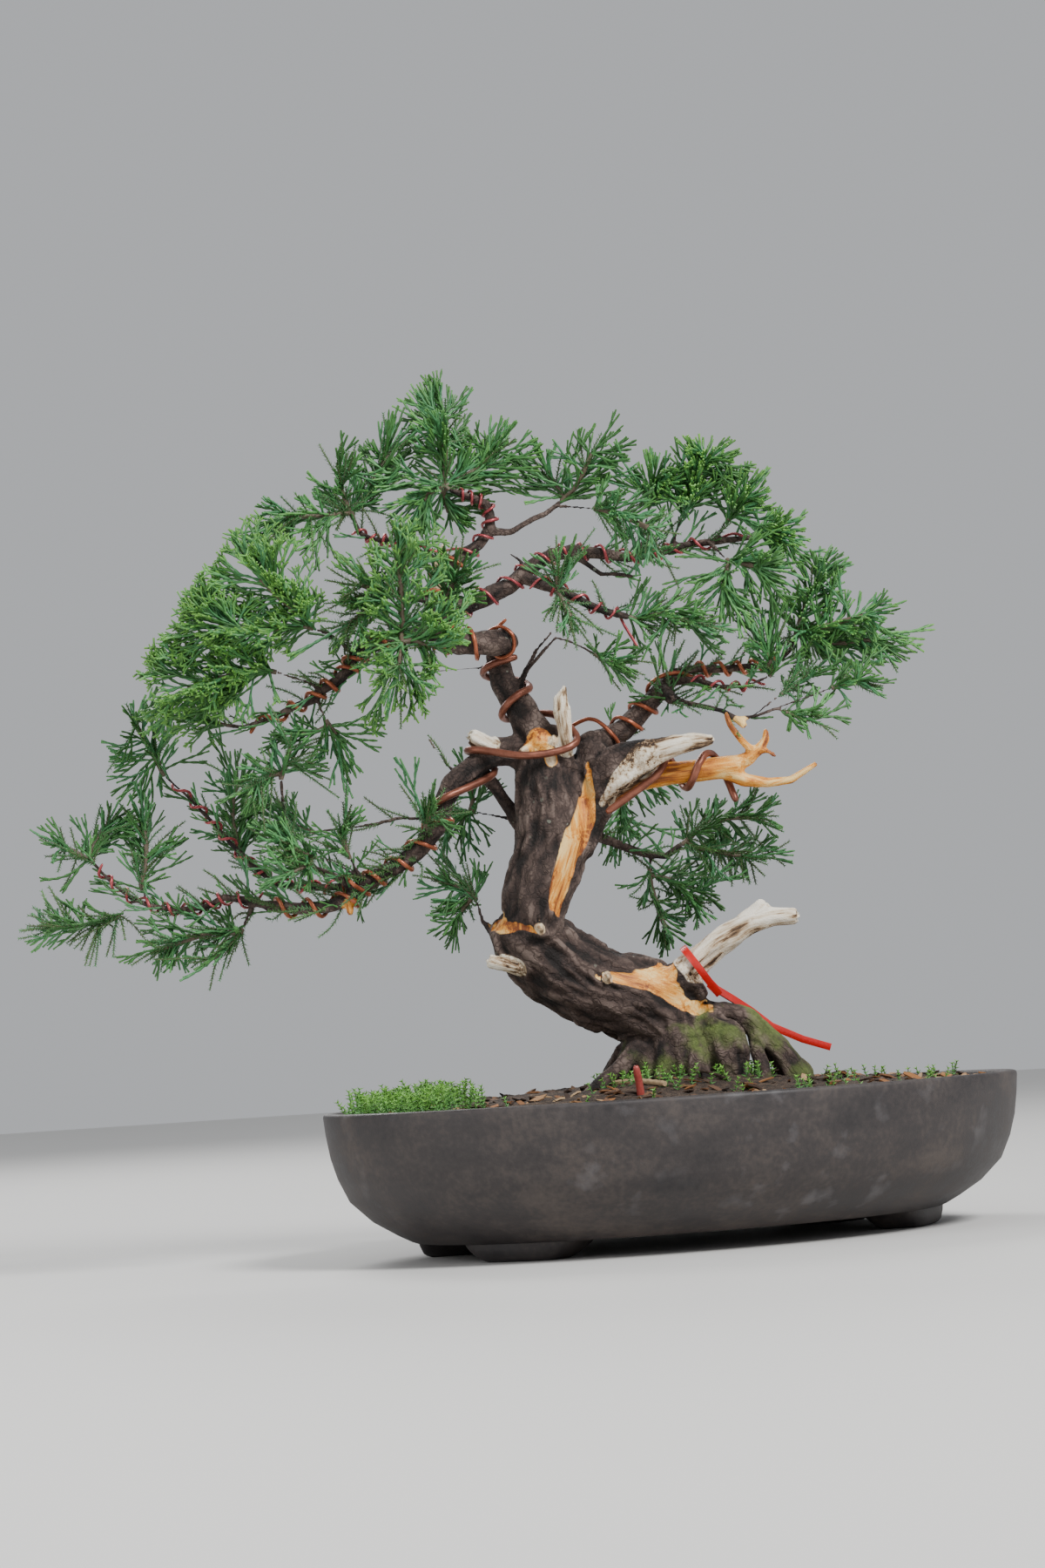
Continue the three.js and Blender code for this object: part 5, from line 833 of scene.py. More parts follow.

# %% [markdown]
# Bark is dark red-brown with some lichen. It is paler on its raised ridges, partly its own colour and partly
# a painted highlight, and dark in the cracks between its flakes, partly painted shade. Old wood runs from
# brown in the grooves, partly painted shade, to silver. Fresh wood is amber, and the cream on its high grain
# is partly a painted highlight. Streaks and flakes are drawn out along the limbs: their pattern takes its
# place from the offset to the middle line, and changes only slowly with the way along it.

# %% The colours of bark and wood


def bark_colour(finish, ridge, flakes):
    cloud = finish.math("SUBTRACT", finish.mottled(45, 900, 0.3), 0.5)
    raised = finish.plus(ridge, cloud, 0.5)
    # The cracks between flakes are darkened here: partly painted shade, partly the bark's own darker cracks
    level = finish.math("MULTIPLY", raised, finish.span(flakes, 0.0, 1.0, 0.62, 1.06))
    # The ramp's pale top, on the raised ridges, is partly a painted highlight
    bark = finish.ramp(level, [
        (0.10, (0.008, 0.005, 0.004)), (0.34, (0.036, 0.022, 0.018)),
        (0.60, (0.072, 0.047, 0.038)), (0.95, (0.150, 0.108, 0.090)),
    ])
    lichen = finish.math("MULTIPLY", finish.flecked(160, 0.1), finish.span(finish.noise(14), 0.5, 0.68))
    return finish.mix(finish.math("MULTIPLY", lichen, 0.7), bark, (0.34, 0.38, 0.30))


def old_wood_colour(finish, grain_shade_and_highlight):
    stains = finish.span(finish.noise(42, 4), 0.5, 0.7, 0.0, 0.08)
    # Low grain, in the grooves, turns dark brown: partly painted shade, partly the wood's own darker checks
    return finish.ramp(finish.math("SUBTRACT", grain_shade_and_highlight, stains), [
        (0.20, (0.035, 0.019, 0.011)), (0.32, (0.20, 0.120, 0.062)), (0.42, (0.46, 0.34, 0.215)),
        (0.54, (0.68, 0.58, 0.44)), (0.8, (0.84, 0.78, 0.66)),
    ])


def fresh_wood_colour(finish, grain_shade_and_highlight):
    resin = finish.span(finish.noise(60, 3), 0.45, 0.75, 0.0, 0.2)
    # High grain turns cream: partly a painted highlight, partly the wood's own pale fibres
    return finish.ramp(finish.math("SUBTRACT", grain_shade_and_highlight, resin), [
        (0.14, (0.22, 0.055, 0.008)), (0.30, (0.58, 0.19, 0.018)),
        (0.48, (0.79, 0.33, 0.040)), (0.75, (0.90, 0.60, 0.22)),
    ])


def pale_wood_colour(finish, grain_shade_and_highlight):
    return finish.ramp(grain_shade_and_highlight, [
        (0.2, (0.36, 0.22, 0.12)), (0.6, (0.66, 0.50, 0.32)), (0.9, (0.80, 0.68, 0.50)),
    ])


def limb_streaks(finish, offset, along):
    values = {"Vector": offset, "W": finish.math("MULTIPLY", along, 0.07)}
    values |= {"Scale": 480.0, "Detail": 5.0, "Roughness": 0.65}
    return finish.add("ShaderNodeTexNoise", values, noise_dimensions="4D").outputs["Fac"]


def bark_flakes(finish, offset, along):
    """0 on the cracks between flakes, 1 on the flakes"""
    values = {"Vector": finish.warped(0.003, offset), "W": finish.math("MULTIPLY", along, 0.35)}
    values |= {"Scale": 250.0}
    looks = {"feature": "DISTANCE_TO_EDGE", "voronoi_dimensions": "4D"}
    cracks = finish.add("ShaderNodeTexVoronoi", values, **looks).outputs["Distance"]
    return finish.span(cracks, 0.0, 0.14)


def wood_finish():
    finish = Finish("bark_and_wood", Roughness=0.85)
    offset = finish.attribute("limb_offset", "Vector")
    along = finish.attribute("limb_along")
    weathered_mask, peeled_mask = finish.attribute("weathered"), finish.attribute("peeled")
    streaks = finish.math("SUBTRACT", limb_streaks(finish, offset, along), 0.5)
    flakes = bark_flakes(finish, offset, along)
    # This grain value also paints shade in the grooves and highlights on fresh wood
    grain_shade_and_highlight = finish.plus(finish.attribute("fibre"), streaks, 1.7)
    colour = bark_colour(finish, finish.attribute("ridge"), flakes)
    layers = [
        (weathered_mask, old_wood_colour(finish, grain_shade_and_highlight)),
        (peeled_mask, fresh_wood_colour(finish, grain_shade_and_highlight)),
        (finish.attribute("pale"), pale_wood_colour(finish, grain_shade_and_highlight)),
    ]
    for mask, layer in layers:
        colour = finish.mix(finish.span(mask, 0.35, 0.65), colour, layer)
    tufts = finish.math("MULTIPLY", finish.attribute("mossy"), finish.span(finish.noise(55, 5), 0.44, 0.6))
    moss = finish.mix(finish.noise(500), (0.035, 0.060, 0.012), (0.18, 0.24, 0.05))
    finish.colour(finish.mix(tufts, colour, moss))
    finish.rough(finish.span(peeled_mask, 0.0, 1.0, 0.88, 0.5))
    barked = finish.math("SUBTRACT", 1.0, finish.math("MAXIMUM", weathered_mask, peeled_mask))
    grain_height = finish.plus(grain_shade_and_highlight, finish.noise(1400, 2))
    finish.bump(finish.plus(grain_height, finish.math("MULTIPLY", flakes, barked)), 0.5 * MM, 0.7)
    return finish.material


finish_piece(wood, "wood", wood_finish(), "wood")
print("materials for wood:", wood.data.materials[0].name)

# %% [markdown]
# The foliage. In the solid model a spray is a three-sided stem with spikes for shoots. Its skeleton is
# read back from the mesh: every three corners that are joined in a ring, without a face between them,
# mark a cross-section, and a corner with only three neighbours is a tip. The shortest way from the twig
# to each tip gives stems and shoots.

# %% Read a spray's skeleton


def rings_and_tips(sheet):
    """The cross-sections of a spray's stems as corner triples, its tips, and the cap it starts from"""
    faces = {frozenset(corner.index for corner in face.verts) for face in sheet.faces}
    near = {
        corner.index: {edge.other_vert(corner).index for edge in corner.link_edges} for corner in sheet.verts
    }
    tips = [index for index, others in near.items() if len(others) == 3]
    start = frozenset(index for index, others in near.items() if len(others) == 4)
    rings = {start}
    for edge in sheet.edges:
        first, second = (corner.index for corner in edge.verts)
        for third in near[first] & near[second]:
            triple = frozenset((first, second, third))
            if triple not in faces and not triple & set(tips):
                rings.add(triple)
    return rings, tips, start, near


def middle_of(sheet, corners):
    return sum((sheet.verts[index].co for index in corners), Vector()) / len(corners)


def shortest_ways(near, corner_sets, where, first, tips):
    """The parent of each ring and tip on its shortest way from the first ring"""
    holders = {}
    for number, corners in enumerate(corner_sets):
        for index in corners:
            holders.setdefault(index, set()).add(number)
    best = {first: 0.0}
    parent = {first: None}
    queue = [(0.0, first)]
    while queue:
        distance, number = heapq.heappop(queue)
        if distance > best[number] or corner_sets[number] <= set(tips):
            continue
        around = set().union(*(near[index] | {index} for index in corner_sets[number]))
        for other in set().union(*(holders.get(index, set()) for index in around)):
            reach = distance + (where[other] - where[number]).length
            if reach < best.get(other, math.inf) - 1e-9:
                best[other] = reach
                parent[other] = number
                heapq.heappush(queue, (reach, other))
    return parent


def skeleton(node):
    """A spray as a tree of middle points: their places, their parents, and which are tips"""
    sheet = welded_copy(node)
    rings, tips, start, near = rings_and_tips(sheet)
    corner_sets = sorted(rings, key=sorted) + [frozenset((tip,)) for tip in tips]
    where = [middle_of(sheet, corners) for corners in corner_sets]
    parent = shortest_ways(near, corner_sets, where, corner_sets.index(start), tips)
    sheet.free()
    tip_numbers = [number for number in range(len(rings), len(corner_sets)) if number in parent]
    return where, parent, tip_numbers


def stems_and_shoots(node):
    """Shoots lead to one tip each, and stems carry two or more"""
    where, parent, tips = skeleton(node)
    carried = {}
    for tip in tips:
        number = tip
        while number is not None:
            carried[number] = carried.get(number, 0) + 1
            number = parent[number]
    shoots = []
    for tip in tips:
        path = [tip]
        while parent[path[-1]] is not None and carried[path[-1]] == 1:
            path.append(parent[path[-1]])
        root, back = path[-1], parent[path[-1]]
        heading = where[path[-2]] - where[root] if back is None else where[root] - where[back]
        shoots.append(([where[number] for number in reversed(path)], heading.normalized()))
    stems = [
        (where[parent[number]], where[number])
        for number, count in carried.items()
        if count > 1 and parent[number] is not None
    ]
    return shoots, stems


spray_nodes = sorted(name for name in nodes if name.startswith("spray_"))
plans = {name: stems_and_shoots(name) for name in spray_nodes}
print("sprays:", len(plans), "shoots:", sum(len(shoots) for shoots, _ in plans.values()))

# %% [markdown]
# Juniper has two kinds of leaf. Grown shoots are cords of tiny scales, 1 to 2 mm thick, that fork in flat
# fans. Young shoots carry awl needles in threes. Each spray has a habit of its own, read off the
# photograph.

# %% The habit of each spray
CORD_RADIUS = 0.95
STEM_RADIUS = 1.45
NEEDLE_LENGTH = 3.5
FORK_ANGLE = math.radians(23)


def habit(needles, extra=1.8, sides=0.8, stubs=0, lime=0.1):
    """Share of needle shoots, extra shoots for each one in the solid, side cords to 10 mm, stubby young tips
    to a cord, and the share of lime in them"""
    return needles, extra, sides, stubs, lime


HABITS = {
    "left_tip": habit(0.45, 1.6),
    "left_needles": habit(0.75),
    "left_hanging": habit(0.55, 1.6),
    "left_rising": habit(0.4),
    "branch_a": habit(0.1, 1.2, 0.7, lime=0.15),
    "branch_a_middle": habit(0.3, 1.4),
    "branch_b": habit(0.45, lime=0.15),
    "branch_b_low": habit(0.5),
    "upper_twig": habit(0.4, 1.6),
    "left_crown": habit(0.5, 1.6, lime=0.15),
    "tuft": habit(0.4, lime=0.15),
    "fan_high": habit(0.0, 2.6, 0.9, 2, 0.6),
    "fan_low": habit(0.0, 2.6, 0.9, 2, 0.6),
    "left_point": habit(0.1, 1.6, 0.8, 1, 0.6),
    "low_hanging": habit(0.0, 0.6, 0.7),
    "front": habit(0.35, 2.0, 0.9, 2, 0.6),
    "front_high": habit(0.6, 1.8, 0.9, 1, 0.5),
    "front_right": habit(0.45, 1.8, 0.9, lime=0.2),
    "upper_left": habit(0.4, lime=0.15),
    "apex": habit(0.15, 2.4, 0.9, lime=0.3),
    "apex_right": habit(0.15, 1.2, lime=0.2),
    "drooping": habit(0.25, 2.0, lime=0.15),
    "middle_top": habit(0.0, 5.0, 0.6, lime=0.3),
    "top_fan": habit(0.0, 5.0, 0.6, lime=0.6),
    "top_middle": habit(0.0, 5.4, 0.6, lime=0.5),
    "crossing_end": habit(0.0, 4.8, 0.6, lime=0.55),
    "fan_low_right": habit(0.05, 4.4, 0.6, lime=0.3),
    "third_right": habit(0.6, lime=0.2),
    "right_high": habit(0.1, 2.6, 0.7, lime=0.35),
    "right_middle": habit(0.3, 2.4, lime=0.2),
    "right_outer": habit(0.2, 2.4, lime=0.25),
    "right_inner": habit(0.5, 1.6),
    "right_low": habit(0.2, 1.4, 0.7),
    "rear_right": habit(0.5),
    "rear_hanging": habit(0.2, 1.2, 0.7),
    "rear_whips": habit(0.0, 0.6, 0.6),
    "rear_left_high": habit(0.3, 1.6),
    "rear_left_low": habit(0.4),
    "leader": habit(0.4, 1.6, lime=0.15),
    "centre": habit(0.7, lime=0.15),
}
print("habits:", len(HABITS))

# %% [markdown]
# The paths of cords and needle shoots are grown by a rule with a fixed seed. A shoot forks to both sides
# in one plane, and a side cord leaves at an angle and curves forward, as on the real plant.

# %% Grow the paths
SHOOT_POINTS = 8
SIDE_POINTS = 5
NEEDLE_CORD_RADIUS = 0.55
FORKING_LENGTH = 9 * MM
TIP_REACH = 38 * MM


def unit(vector):
    return vector / max(np.linalg.norm(vector), 1e-9)


def eased(points, count, sag=0.0):
    """A smooth curve near a few points, as evenly shared samples"""
    stacked = np.array([np.array(point) for point in points])
    lengths = np.concatenate([[0], np.cumsum([np.linalg.norm(b - a) for a, b in zip(stacked, stacked[1:])])])
    wanted = np.linspace(0, lengths[-1], count)
    line = np.stack([np.interp(wanted, lengths, stacked[:, axis]) for axis in range(3)], axis=1)
    for _ in range(2):
        line[1:-1] = (line[:-2] + 2 * line[1:-1] + line[2:]) / 4
    share = np.linspace(0, 1, count)
    line[:, 2] -= sag * 4 * share * (1 - share)
    return line


class Grower:
    """Collects the paths of one piece of foliage: cords of scales, needle shoots and woody stems"""

    def __init__(self, habit, seed):
        self.random = np.random.default_rng(seed)
        self.needle_share, self.extra, self.sides, self.stubs, self.lime = habit
        self.cords = []
        self.needles = []
        self.stems = []

    def side_of(self, along, heading):
        """A direction square to a shoot, in the plane of its fan"""
        flat = heading - along * (heading @ along)
        if np.linalg.norm(flat) < 0.2:
            flat = np.array((0.3, 0.2, 1.0)) - along * along[2]
        flat = unit(flat)
        lean = self.random.normal(0, 0.4)
        return flat * math.cos(lean) + np.cross(along, flat) * math.sin(lean)

    def cord(self, line, radius, tone, woody=0.0, young=None):
        young = self.lime * (0.4 + tone) if young is None else young
        self.cords.append((line, radius, tone, woody, young))

    def stubby_tips(self, line, side, radius, tone):
        """Short young tips to both sides of a cord's end"""
        along = unit(line[-1] - line[-2])
        for order in range(self.stubs):
            at = line[-1] + (line[-2] - line[-1]) * self.random.uniform(0, 1.3)
            angle = math.radians(self.random.uniform(24, 50)) * (1 if order % 2 else -1)
            away = along * math.cos(angle) + side * math.sin(angle) + self.random.normal(0, 0.15, 3)
            end = at + unit(away) * self.random.uniform(3.0, 5.5) * MM
            self.cord(eased([at, end], 3), radius, tone, young=self.lime)

    def side_cord(self, start, along, side, length, radius, tone, forks=1):
        """A side cord leaves at an angle, curves forward, and may fork again"""
        angle = FORK_ANGLE * self.random.uniform(0.7, 1.4)
        leave = along * math.cos(angle) + side * math.sin(angle)
        ahead = unit(leave + along * self.random.uniform(0.2, 0.8) + np.array((0, 0, 0.12)))
        bends = [start, start + leave * length * 0.5, start + (leave + ahead) * length * 0.5]
        line = eased(bends, SIDE_POINTS)
        self.cord(line, radius, tone)
        self.stubby_tips(line, side, radius * 0.95, tone)
        if forks and length > FORKING_LENGTH:
            flip = side * self.random.choice((-1, 1))
            reach = length * self.random.uniform(0.35, 0.6)
            self.side_cord(line[2], ahead, flip, reach, radius * 0.95, tone, forks - 1)

    def shoot(self, points, heading, thin=1.0):
        """One shoot, dressed as a forked cord or as a needle shoot"""
        line = eased(points, SHOOT_POINTS, sag=self.random.normal(0, 0.8) * MM)
        length = np.linalg.norm(line[-1] - line[0])
        along = unit(line[-1] - line[0])
        tone = self.random.uniform()
        radius = CORD_RADIUS * MM * self.random.uniform(0.85, 1.1) * thin
        if self.random.uniform() < self.needle_share:
            self.cord(line, NEEDLE_CORD_RADIUS * MM, tone, woody=0.6)
            self.needles.append((line, tone))
            return
        self.cord(line, radius, tone)
        side = self.side_of(along, heading)
        self.stubby_tips(line, side, radius * 0.9, tone)
        count = max(1, round(self.sides * length / (10 * MM)))
        first = 0.4 if self.stubs > 1 else 0.12
        last = len(line) - 1
        for order in range(count):
            share = first + (0.85 - first) * (order + self.random.uniform(0.2, 0.8)) / count
            low = int(share * last)
            start = line[low] + (line[low + 1] - line[low]) * (share * last - low)
            reach = self.random.uniform(0.5, 0.95) * (1 - share) * length + self.random.uniform(3, 7) * MM
            flip = side * (1 if order % 2 else -1)
            self.side_cord(start, along, flip, reach, radius * 0.95, tone)

    def between(self, shoots):
        """Further shoots that end between the tips of the solid's own"""
        tips = np.array([points[-1] for points, _ in shoots])
        roots = np.array([points[0] for points, _ in shoots])
        for _ in range(round(self.extra * len(shoots))):
            one = self.random.integers(len(shoots))
            gaps = np.linalg.norm(tips - tips[one], axis=1)
            close = [index for index in np.argsort(gaps)[1:5] if gaps[index] < TIP_REACH]
            other = self.random.choice(close) if close else one
            share = self.random.uniform(0.2, 0.8)
            heading = np.array(shoots[one][1])
            root = roots[one] + heading * self.random.uniform(-3.5, 3.5) * MM
            own = np.linalg.norm(tips[one] - roots[one])
            length = own + (np.linalg.norm(tips[other] - roots[other]) - own) * share
            aim = unit(tips[one] * (1 - share) + tips[other] * share - root)
            run = unit(aim + self.random.normal(0, 0.14, 3))
            end = root + run * length * self.random.uniform(0.78, 1.05)
            self.shoot([root, end], heading, thin=0.95)


print("a cord forks at %.0f degrees" % math.degrees(FORK_ANGLE))

# %% [markdown]
# Every spray grows its solid's own shoots first, then more between their tips, and last a few that reach
# towards the tips of the sprays beside it. Those close the gaps between sprays, which the photograph
# shows as one canopy.

# %% Grow every spray
BRIDGE_REACH = 46 * MM
BRIDGE_SHARE = 0.8
FULL_SPRAY = 4

all_tips = [(name, index) for name in spray_nodes for index in range(len(plans[name][0]))]
tip_places = np.array([plans[name][0][index][0][-1] for name, index in all_tips])
tip_owner = np.array([spray_nodes.index(name) for name, _ in all_tips])
growers = {}


def bridge(grower, owner, points, heading):
    """A shoot, or two in a full spray, part of the way to tips of other sprays"""
    root, tip = np.array(points[0]), np.array(points[-1])
    gaps = np.linalg.norm(tip_places - tip, axis=1)
    others = np.flatnonzero((tip_owner != owner) & (gaps < BRIDGE_REACH))
    for _ in range(2 if grower.extra > FULL_SPRAY else 1):
        if not len(others) or grower.random.uniform() > BRIDGE_SHARE:
            continue
        aim = tip_places[grower.random.choice(others)]
        end = tip + (aim - tip) * grower.random.uniform(0.25, 0.6)
        grower.shoot([root, root + (end - root) * 0.5 + np.array((0, 0, 1.5 * MM)), end], np.array(heading))


for owner, name in enumerate(spray_nodes):
    shoots, stems = plans[name]
    grower = Grower(HABITS[name.removeprefix("spray_")], 700 + owner)
    for points, heading in shoots:
        grower.shoot(points, np.array(heading))
    grower.between(shoots)
    for points, heading in shoots:
        bridge(grower, owner, points, heading)
    grower.stems.extend((np.array(first), np.array(second)) for first, second in stems)
    growers[name] = grower
print("cords:", sum(len(grower.cords) for grower in growers.values()))

# %% [markdown]
# Short shoots also grow straight from the thin branches. Their roots are picked on the bark where a limb
# is thin, some millimetres apart. They point outwards, upwards, and along the limb away from the trunk.

# %% Sprigs along the branches
SPRIG_COUNT = 420
SPRIG_SPACING = 4.6 * MM
TRUNK_CLEARANCE = 45 * MM
THINNEST, THICKEST = 1.8 * MM, 9 * MM
LOWEST_SPRIG = 0.2
trunk_middle = np.array(seen(-75, 230, -10))

sprigs = Grower(habit(0.5, extra=0, lime=0.15), 900)
thin_limb = (thickness > THINNEST) & (thickness < THICKEST) & (bare < 0.1) & (places[:, 2] > LOWEST_SPRIG)
away_from_trunk = np.linalg.norm(places[:, :2] - trunk_middle[:2], axis=1) > TRUNK_CLEARANCE
sprig_roots = []
for index in sprigs.random.permutation(np.flatnonzero(thin_limb & away_from_trunk)):
    root = places[index]
    if sprig_roots and np.min(np.linalg.norm(np.array(sprig_roots) - root, axis=1)) < SPRIG_SPACING:
        continue
    distal = grain[index] * (1 if grain[index] @ (root - trunk_middle) > 0 else -1)
    way = 0.55 * normals[index] + 0.65 * distal + np.array((0, 0, 0.3)) + sprigs.random.normal(0, 0.22, 3)
    length = sprigs.random.uniform(9, 24) * MM
    bend = unit(way) * length * 0.5
    ahead = unit(way + distal * 0.4) * length * 0.5
    sprigs.shoot([root, root + bend, root + bend + ahead], distal, thin=0.85)
    sprig_roots.append(root)
    if len(sprig_roots) == SPRIG_COUNT:
        break
print("sprigs:", len(sprig_roots))

# %% [markdown]
# The paths travel to Geometry Nodes as meshes of edges, with a value for each point by name. A small
# helper starts every geometry tree the same way, another ends it, and a third runs a tree on a piece and
# keeps what it makes.

# %% Work with geometry trees


def geometry_tree(name, inputs):
    """An empty tree. Its inputs are named, and their kind follows from their default."""
    kinds = {int: "NodeSocketInt", float: "NodeSocketFloat"}
    tree = bpy.data.node_groups.new(name, "GeometryNodeTree")
    tree.interface.new_socket("Geometry", in_out="INPUT", socket_type="NodeSocketGeometry")
    tree.interface.new_socket("Geometry", in_out="OUTPUT", socket_type="NodeSocketGeometry")
    for label, value in inputs.items():
        kind = kinds.get(type(value), value)
        socket = tree.interface.new_socket(label, in_out="INPUT", socket_type=kind)
        if kind != value:
            socket.default_value = value
    return tree, tree.nodes.new("NodeGroupInput").outputs


def end_tree(tree, geometry, material):
    """The last nodes of every tree: whole geometry, with its material"""
    whole = put(tree, "GeometryNodeRealizeInstances", {"Geometry": geometry})
    dyed = put(tree, "GeometryNodeSetMaterial", {"Geometry": out(whole), "Material": material})
    put(tree, "NodeGroupOutput", {"Geometry": out(dyed)})
    return tree


def out(node, name=0):
    return node.outputs[name]


def named(tree, name, kind="FLOAT"):
    return out(put(tree, "GeometryNodeInputNamedAttribute", {"Name": name}, data_type=kind), "Attribute")


def between(tree, low, high, seed):
    """A random number between two limits, which this node has at its sockets 2 and 3"""
    return out(put(tree, "FunctionNodeRandomValue", {2: low, 3: high, "Seed": seed}, data_type="FLOAT"), 1)


def stored(tree, geometry, name, value, kind="FLOAT", domain="POINT"):
    values = {"Geometry": geometry, "Name": name, "Value": value}
    return out(put(tree, "GeometryNodeStoreNamedAttribute", values, data_type=kind, domain=domain))


def run_tree(piece, tree, **values):
    """Runs a geometry tree on a piece, with inputs by their labels, and keeps the mesh it makes"""
    modifier = piece.modifiers.new(tree.name, "NODES")
    modifier.node_group = tree
    for item in tree.interface.items_tree:
        label = item.name.replace(" ", "_").lower()
        if item.in_out == "INPUT" and label in values:
            modifier[item.identifier] = values[label]
    return settle(piece)


def path_mesh(name, paths):
    """Paths as a mesh of edges. Each path is its points and a value for each of them, by name."""
    mesh = bpy.data.meshes.new(name)
    points, edges = [], []
    layers = {}
    for line, values in paths:
        start = len(points)
        points.extend(tuple(point) for point in line)
        edges.extend((start + step, start + step + 1) for step in range(len(line) - 1))
        for label, value in values.items():
            layers.setdefault(label, []).append(np.broadcast_to(value, len(line)))
    mesh.from_pydata(points, edges, [])
    for label, chunks in layers.items():
        store(mesh, label, np.concatenate(chunks))
    return linked(name, mesh)


# %% [markdown]
# The cord tree: paths become curves, are sampled evenly, and swept with a small ring. Every second ring
# is thinner and turned by half a side, which gives the braided look of overlapping scales.

# %% The cord tree


def cord_tree():
    inputs = {"Sides": 4, "Ring spacing": 2.6 * MM, "Scale relief": 0.12, "Material": "NodeSocketMaterial"}
    tree, given = geometry_tree("scale cords", inputs)
    paths = out(put(tree, "GeometryNodeMeshToCurve", {"Mesh": given["Geometry"]}))
    steps = {"Curve": paths, "Length": given["Ring spacing"]}
    even = put(tree, "GeometryNodeResampleCurve", steps, mode="LENGTH")
    odd = arith(tree, "MODULO", out(put(tree, "GeometryNodeInputIndex")), 2.0)
    swell = arith(tree, "SUBTRACT", 1.0, arith(tree, "MULTIPLY", odd, given["Scale relief"]))
    radius = arith(tree, "MULTIPLY", named(tree, "radius"), swell)
    sized = put(tree, "GeometryNodeSetCurveRadius", {"Curve": out(even), "Radius": radius})
    twist = arith(tree, "MULTIPLY", odd, arith(tree, "DIVIDE", math.pi, given["Sides"]))
    turned = out(put(tree, "GeometryNodeSetCurveTilt", {"Curve": out(sized), "Tilt": twist}))
    ring = out(put(tree, "GeometryNodeCurvePrimitiveCircle", {"Resolution": given["Sides"], "Radius": 1.0}))
    tube = put(tree, "GeometryNodeCurveToMesh", {"Curve": turned, "Profile Curve": ring, "Fill Caps": True})
    if "Scale" in tube.inputs:
        tree.links.new(radius, tube.inputs["Scale"])
    smooth = put(tree, "GeometryNodeSetShadeSmooth", {"Geometry": out(tube), "Shade Smooth": True})
    return end_tree(tree, out(smooth), given["Material"])


cords_tree = cord_tree()
print("cord tree:", len(cords_tree.nodes), "nodes")

# %% [markdown]
# The needle tree: along each path stand whorls of three slim cones. Each whorl is turned on from the one
# before it, and each needle leans outwards. The order and facing of a whorl are stored before its points
# are tripled.

# %% The needle tree
WHORL_STEP = math.radians(67)
NEEDLES_ROUND = 3


def needle_tree():
    tree, given = geometry_tree("awl needles", {
        "Whorl spacing": 1.35 * MM, "Needle thickness": 0.36 * MM, "Lean": math.radians(48), "Seed": 3,
        "Material": "NodeSocketMaterial",
    })
    paths = {"Curve": out(put(tree, "GeometryNodeMeshToCurve", {"Mesh": given["Geometry"]}))}
    paths |= {"Length": given["Whorl spacing"]}
    spots = put(tree, "GeometryNodeCurveToPoints", paths, mode="LENGTH")
    order = stored(tree, out(spots), "order", out(put(tree, "GeometryNodeInputIndex")))
    held = stored(tree, order, "facing", out(spots, "Rotation"), kind="QUATERNION")
    amount = {"Geometry": held, "Amount": NEEDLES_ROUND}
    three = put(tree, "GeometryNodeDuplicateElements", amount, domain="POINT")
    third = arith(tree, "MULTIPLY", out(three, "Duplicate Index"), 2 * math.pi / NEEDLES_ROUND)
    around = arith(tree, "ADD", third, arith(tree, "MULTIPLY", named(tree, "order"), WHORL_STEP))
    lean = arith(tree, "ADD", given["Lean"], between(tree, -0.3, 0.3, given["Seed"]))
    turns = (("Z", around), ("X", lean))
    facing = named(tree, "facing", "QUATERNION")
    for axis, angle in turns:
        spin = out(put(tree, "ShaderNodeCombineXYZ", {axis: angle}))
        both = {"Rotation": facing, "Rotate By": spin}
        facing = out(put(tree, "FunctionNodeRotateRotation", both, rotation_space="LOCAL"))
    needle = put(tree, "GeometryNodeMeshCone", {"Vertices": 3, "Radius Bottom": 1.0, "Depth": 1.0})
    length = arith(tree, "MULTIPLY", named(tree, "radius"), between(tree, 0.75, 1.15, given["Seed"]))
    thick = given["Needle thickness"]
    size = put(tree, "ShaderNodeCombineXYZ", {"X": thick, "Y": thick, "Z": length})
    where = {"Points": out(three), "Instance": out(needle), "Rotation": facing, "Scale": out(size)}
    return end_tree(tree, out(put(tree, "GeometryNodeInstanceOnPoints", where)), given["Material"])


needles_tree = needle_tree()
print("needle tree:", len(needles_tree.nodes), "nodes")

# %% [markdown]
# Leaves differ in green from shoot to shoot, with lime tips where they grow now, and brown where a stem
# turns woody. These shares travel as attributes from the paths to the leaves.

# %% The foliage
STEM_VALUES = {"radius": STEM_RADIUS * MM, "tone": 0.3, "woody": 0.9, "young": 0.0}


def leaf_finish():
    finish = Finish("juniper_leaves", Roughness=0.55)
    patchy = finish.noise(60, 2)
    tone = finish.plus(finish.math("MULTIPLY", finish.attribute("tone"), 0.7), patchy, 0.3)
    green = finish.ramp(tone, [
        (0.1, (0.026, 0.095, 0.022)), (0.4, (0.050, 0.170, 0.036)),
        (0.65, (0.058, 0.215, 0.085)), (0.9, (0.110, 0.320, 0.075)),
    ])
    lime = finish.mix(patchy, (0.13, 0.39, 0.035), (0.27, 0.55, 0.07))
    brown = finish.mix(finish.noise(400), (0.07, 0.040, 0.030), (0.19, 0.125, 0.095))
    colour = finish.mix(finish.attribute("young"), green, lime)
    finish.colour(finish.mix(finish.attribute("woody"), colour, brown))
    finish.bump(finish.noise(1500, 2), 0.15 * MM, 0.6)
    return finish.material


